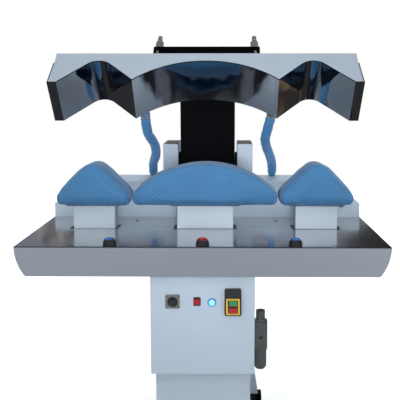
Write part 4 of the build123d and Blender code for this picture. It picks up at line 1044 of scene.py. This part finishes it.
def tent(radius, floor_z):
    """A closed drum round the scene: bright in front, grey behind, and dark above and low at the sides."""
    form = bmesh.new()
    bmesh.ops.create_uvsphere(form, u_segments=48, v_segments=24, radius=radius)
    for vertex in form.verts:
        vertex.co.z = max(floor_z, vertex.co.z + 1.0)
    mesh = bpy.data.meshes.new("tent")
    form.to_mesh(mesh)
    form.free()
    made = bpy.data.objects.new("tent", mesh)
    bpy.context.scene.collection.objects.link(made)
    look = Glow("tent")
    front = look.ease(look.y, -1.0, -3.2)
    behind = look.sum(look.ease(look.y, 1.0, 2.6), look.ease(look.z, 0.1, 0.7), "MULTIPLY")
    above = look.ease(look.z, 2.4, 4.6)
    tone = look.mixed(front, (0.045, 0.046, 0.05, 1), (0.52, 0.58, 0.67, 1))
    tone = look.mixed(behind, tone, (0.215, 0.225, 0.27, 1))
    look.shine(look.mixed(above, tone, (0.03, 0.03, 0.035, 1)))
    mesh.materials.append(look.material)
    reflected_only(made)


tent(7.0, 0.004)
card(
    "window_left",
    (-0.955, 1.6, 1.30),
    (-0.955, 0, 1.30),
    0.26,
    0.15,
    (0.50, 0.49, 0.46),
    soft=0.15,
    blotches=(14.0, (0.035, 0.034, 0.033)),
)
card(
    "chair_left",
    (-0.985, 1.58, 1.302),
    (-0.985, 0, 1.302),
    0.085,
    0.085,
    (0.05, 0.047, 0.045),
    soft=0.4,
    lean=0.03,
)
card(
    "desk_left",
    (-0.885, 1.58, 1.335),
    (-0.885, 0, 1.335),
    0.075,
    0.06,
    (0.07, 0.075, 0.085),
    soft=0.3,
    lean=-0.05,
)
card(
    "doorway_right",
    (1.251, 1.6, 1.35),
    (1.251, 0, 1.35),
    0.95,
    0.5,
    (0.03, 0.03, 0.029),
    soft=0.03,
    lean=-0.66,
)
card(
    "brown_right",
    (2.4, 1.0, 0.1),
    (0.3, 0, 1.3),
    0.9,
    0.9,
    (0.33, 0.23, 0.13),
    soft=0.3,
    blotches=(2.2, (0.055, 0.045, 0.04)),
)
card("dull_front", (0.0, -4.2, 0.02), (0.0, -4.2, 3), 1.8, 2.6, (0.40, 0.45, 0.53), soft=0.9)
card("bright_front", (1.6, -4.2, 0.02), (1.6, -4.2, 3), 1.9, 2.6, (0.74, 0.86, 1.0), soft=0.8)

# The floor fades into the white background
FLOOR_HALF = 9
floor_mesh = bpy.data.meshes.new("floor")
corners = [(x * FLOOR_HALF, y * FLOOR_HALF, 0) for x, y in ((-1, -1), (1, -1), (1, 1), (-1, 1))]
floor_mesh.from_pydata(corners, [], [(0, 1, 2, 3)])
floor = bpy.data.objects.new("floor", floor_mesh)
bpy.context.scene.collection.objects.link(floor)
floor_look = Look("floor", (0.86, 0.87, 0.88), 0.7)
floor_look.vary(floor_look.noise(1.2, 3), 0.985, 1.01)
ray = floor_look.add("ShaderNodeLightPath")
shown = floor_look.sum(ray.outputs["Is Camera Ray"], ray.outputs["Is Transmission Ray"], "MAXIMUM")
away = floor_look.add("ShaderNodeVectorMath", {0: floor_look.place}, operation="LENGTH").outputs["Value"]
fade = floor_look.spread(away, 1.2, 3.4, 0.30, 1.0)
strength = floor_look.sum(shown, fade, "MULTIPLY")
floor_look.set(floor_look.shader, {"Emission Color": (1, 1, 1, 1), "Emission Strength": strength})
floor_mesh.materials.append(floor_look.material)

view = bpy.context.scene.view_settings
view.view_transform = "Standard"
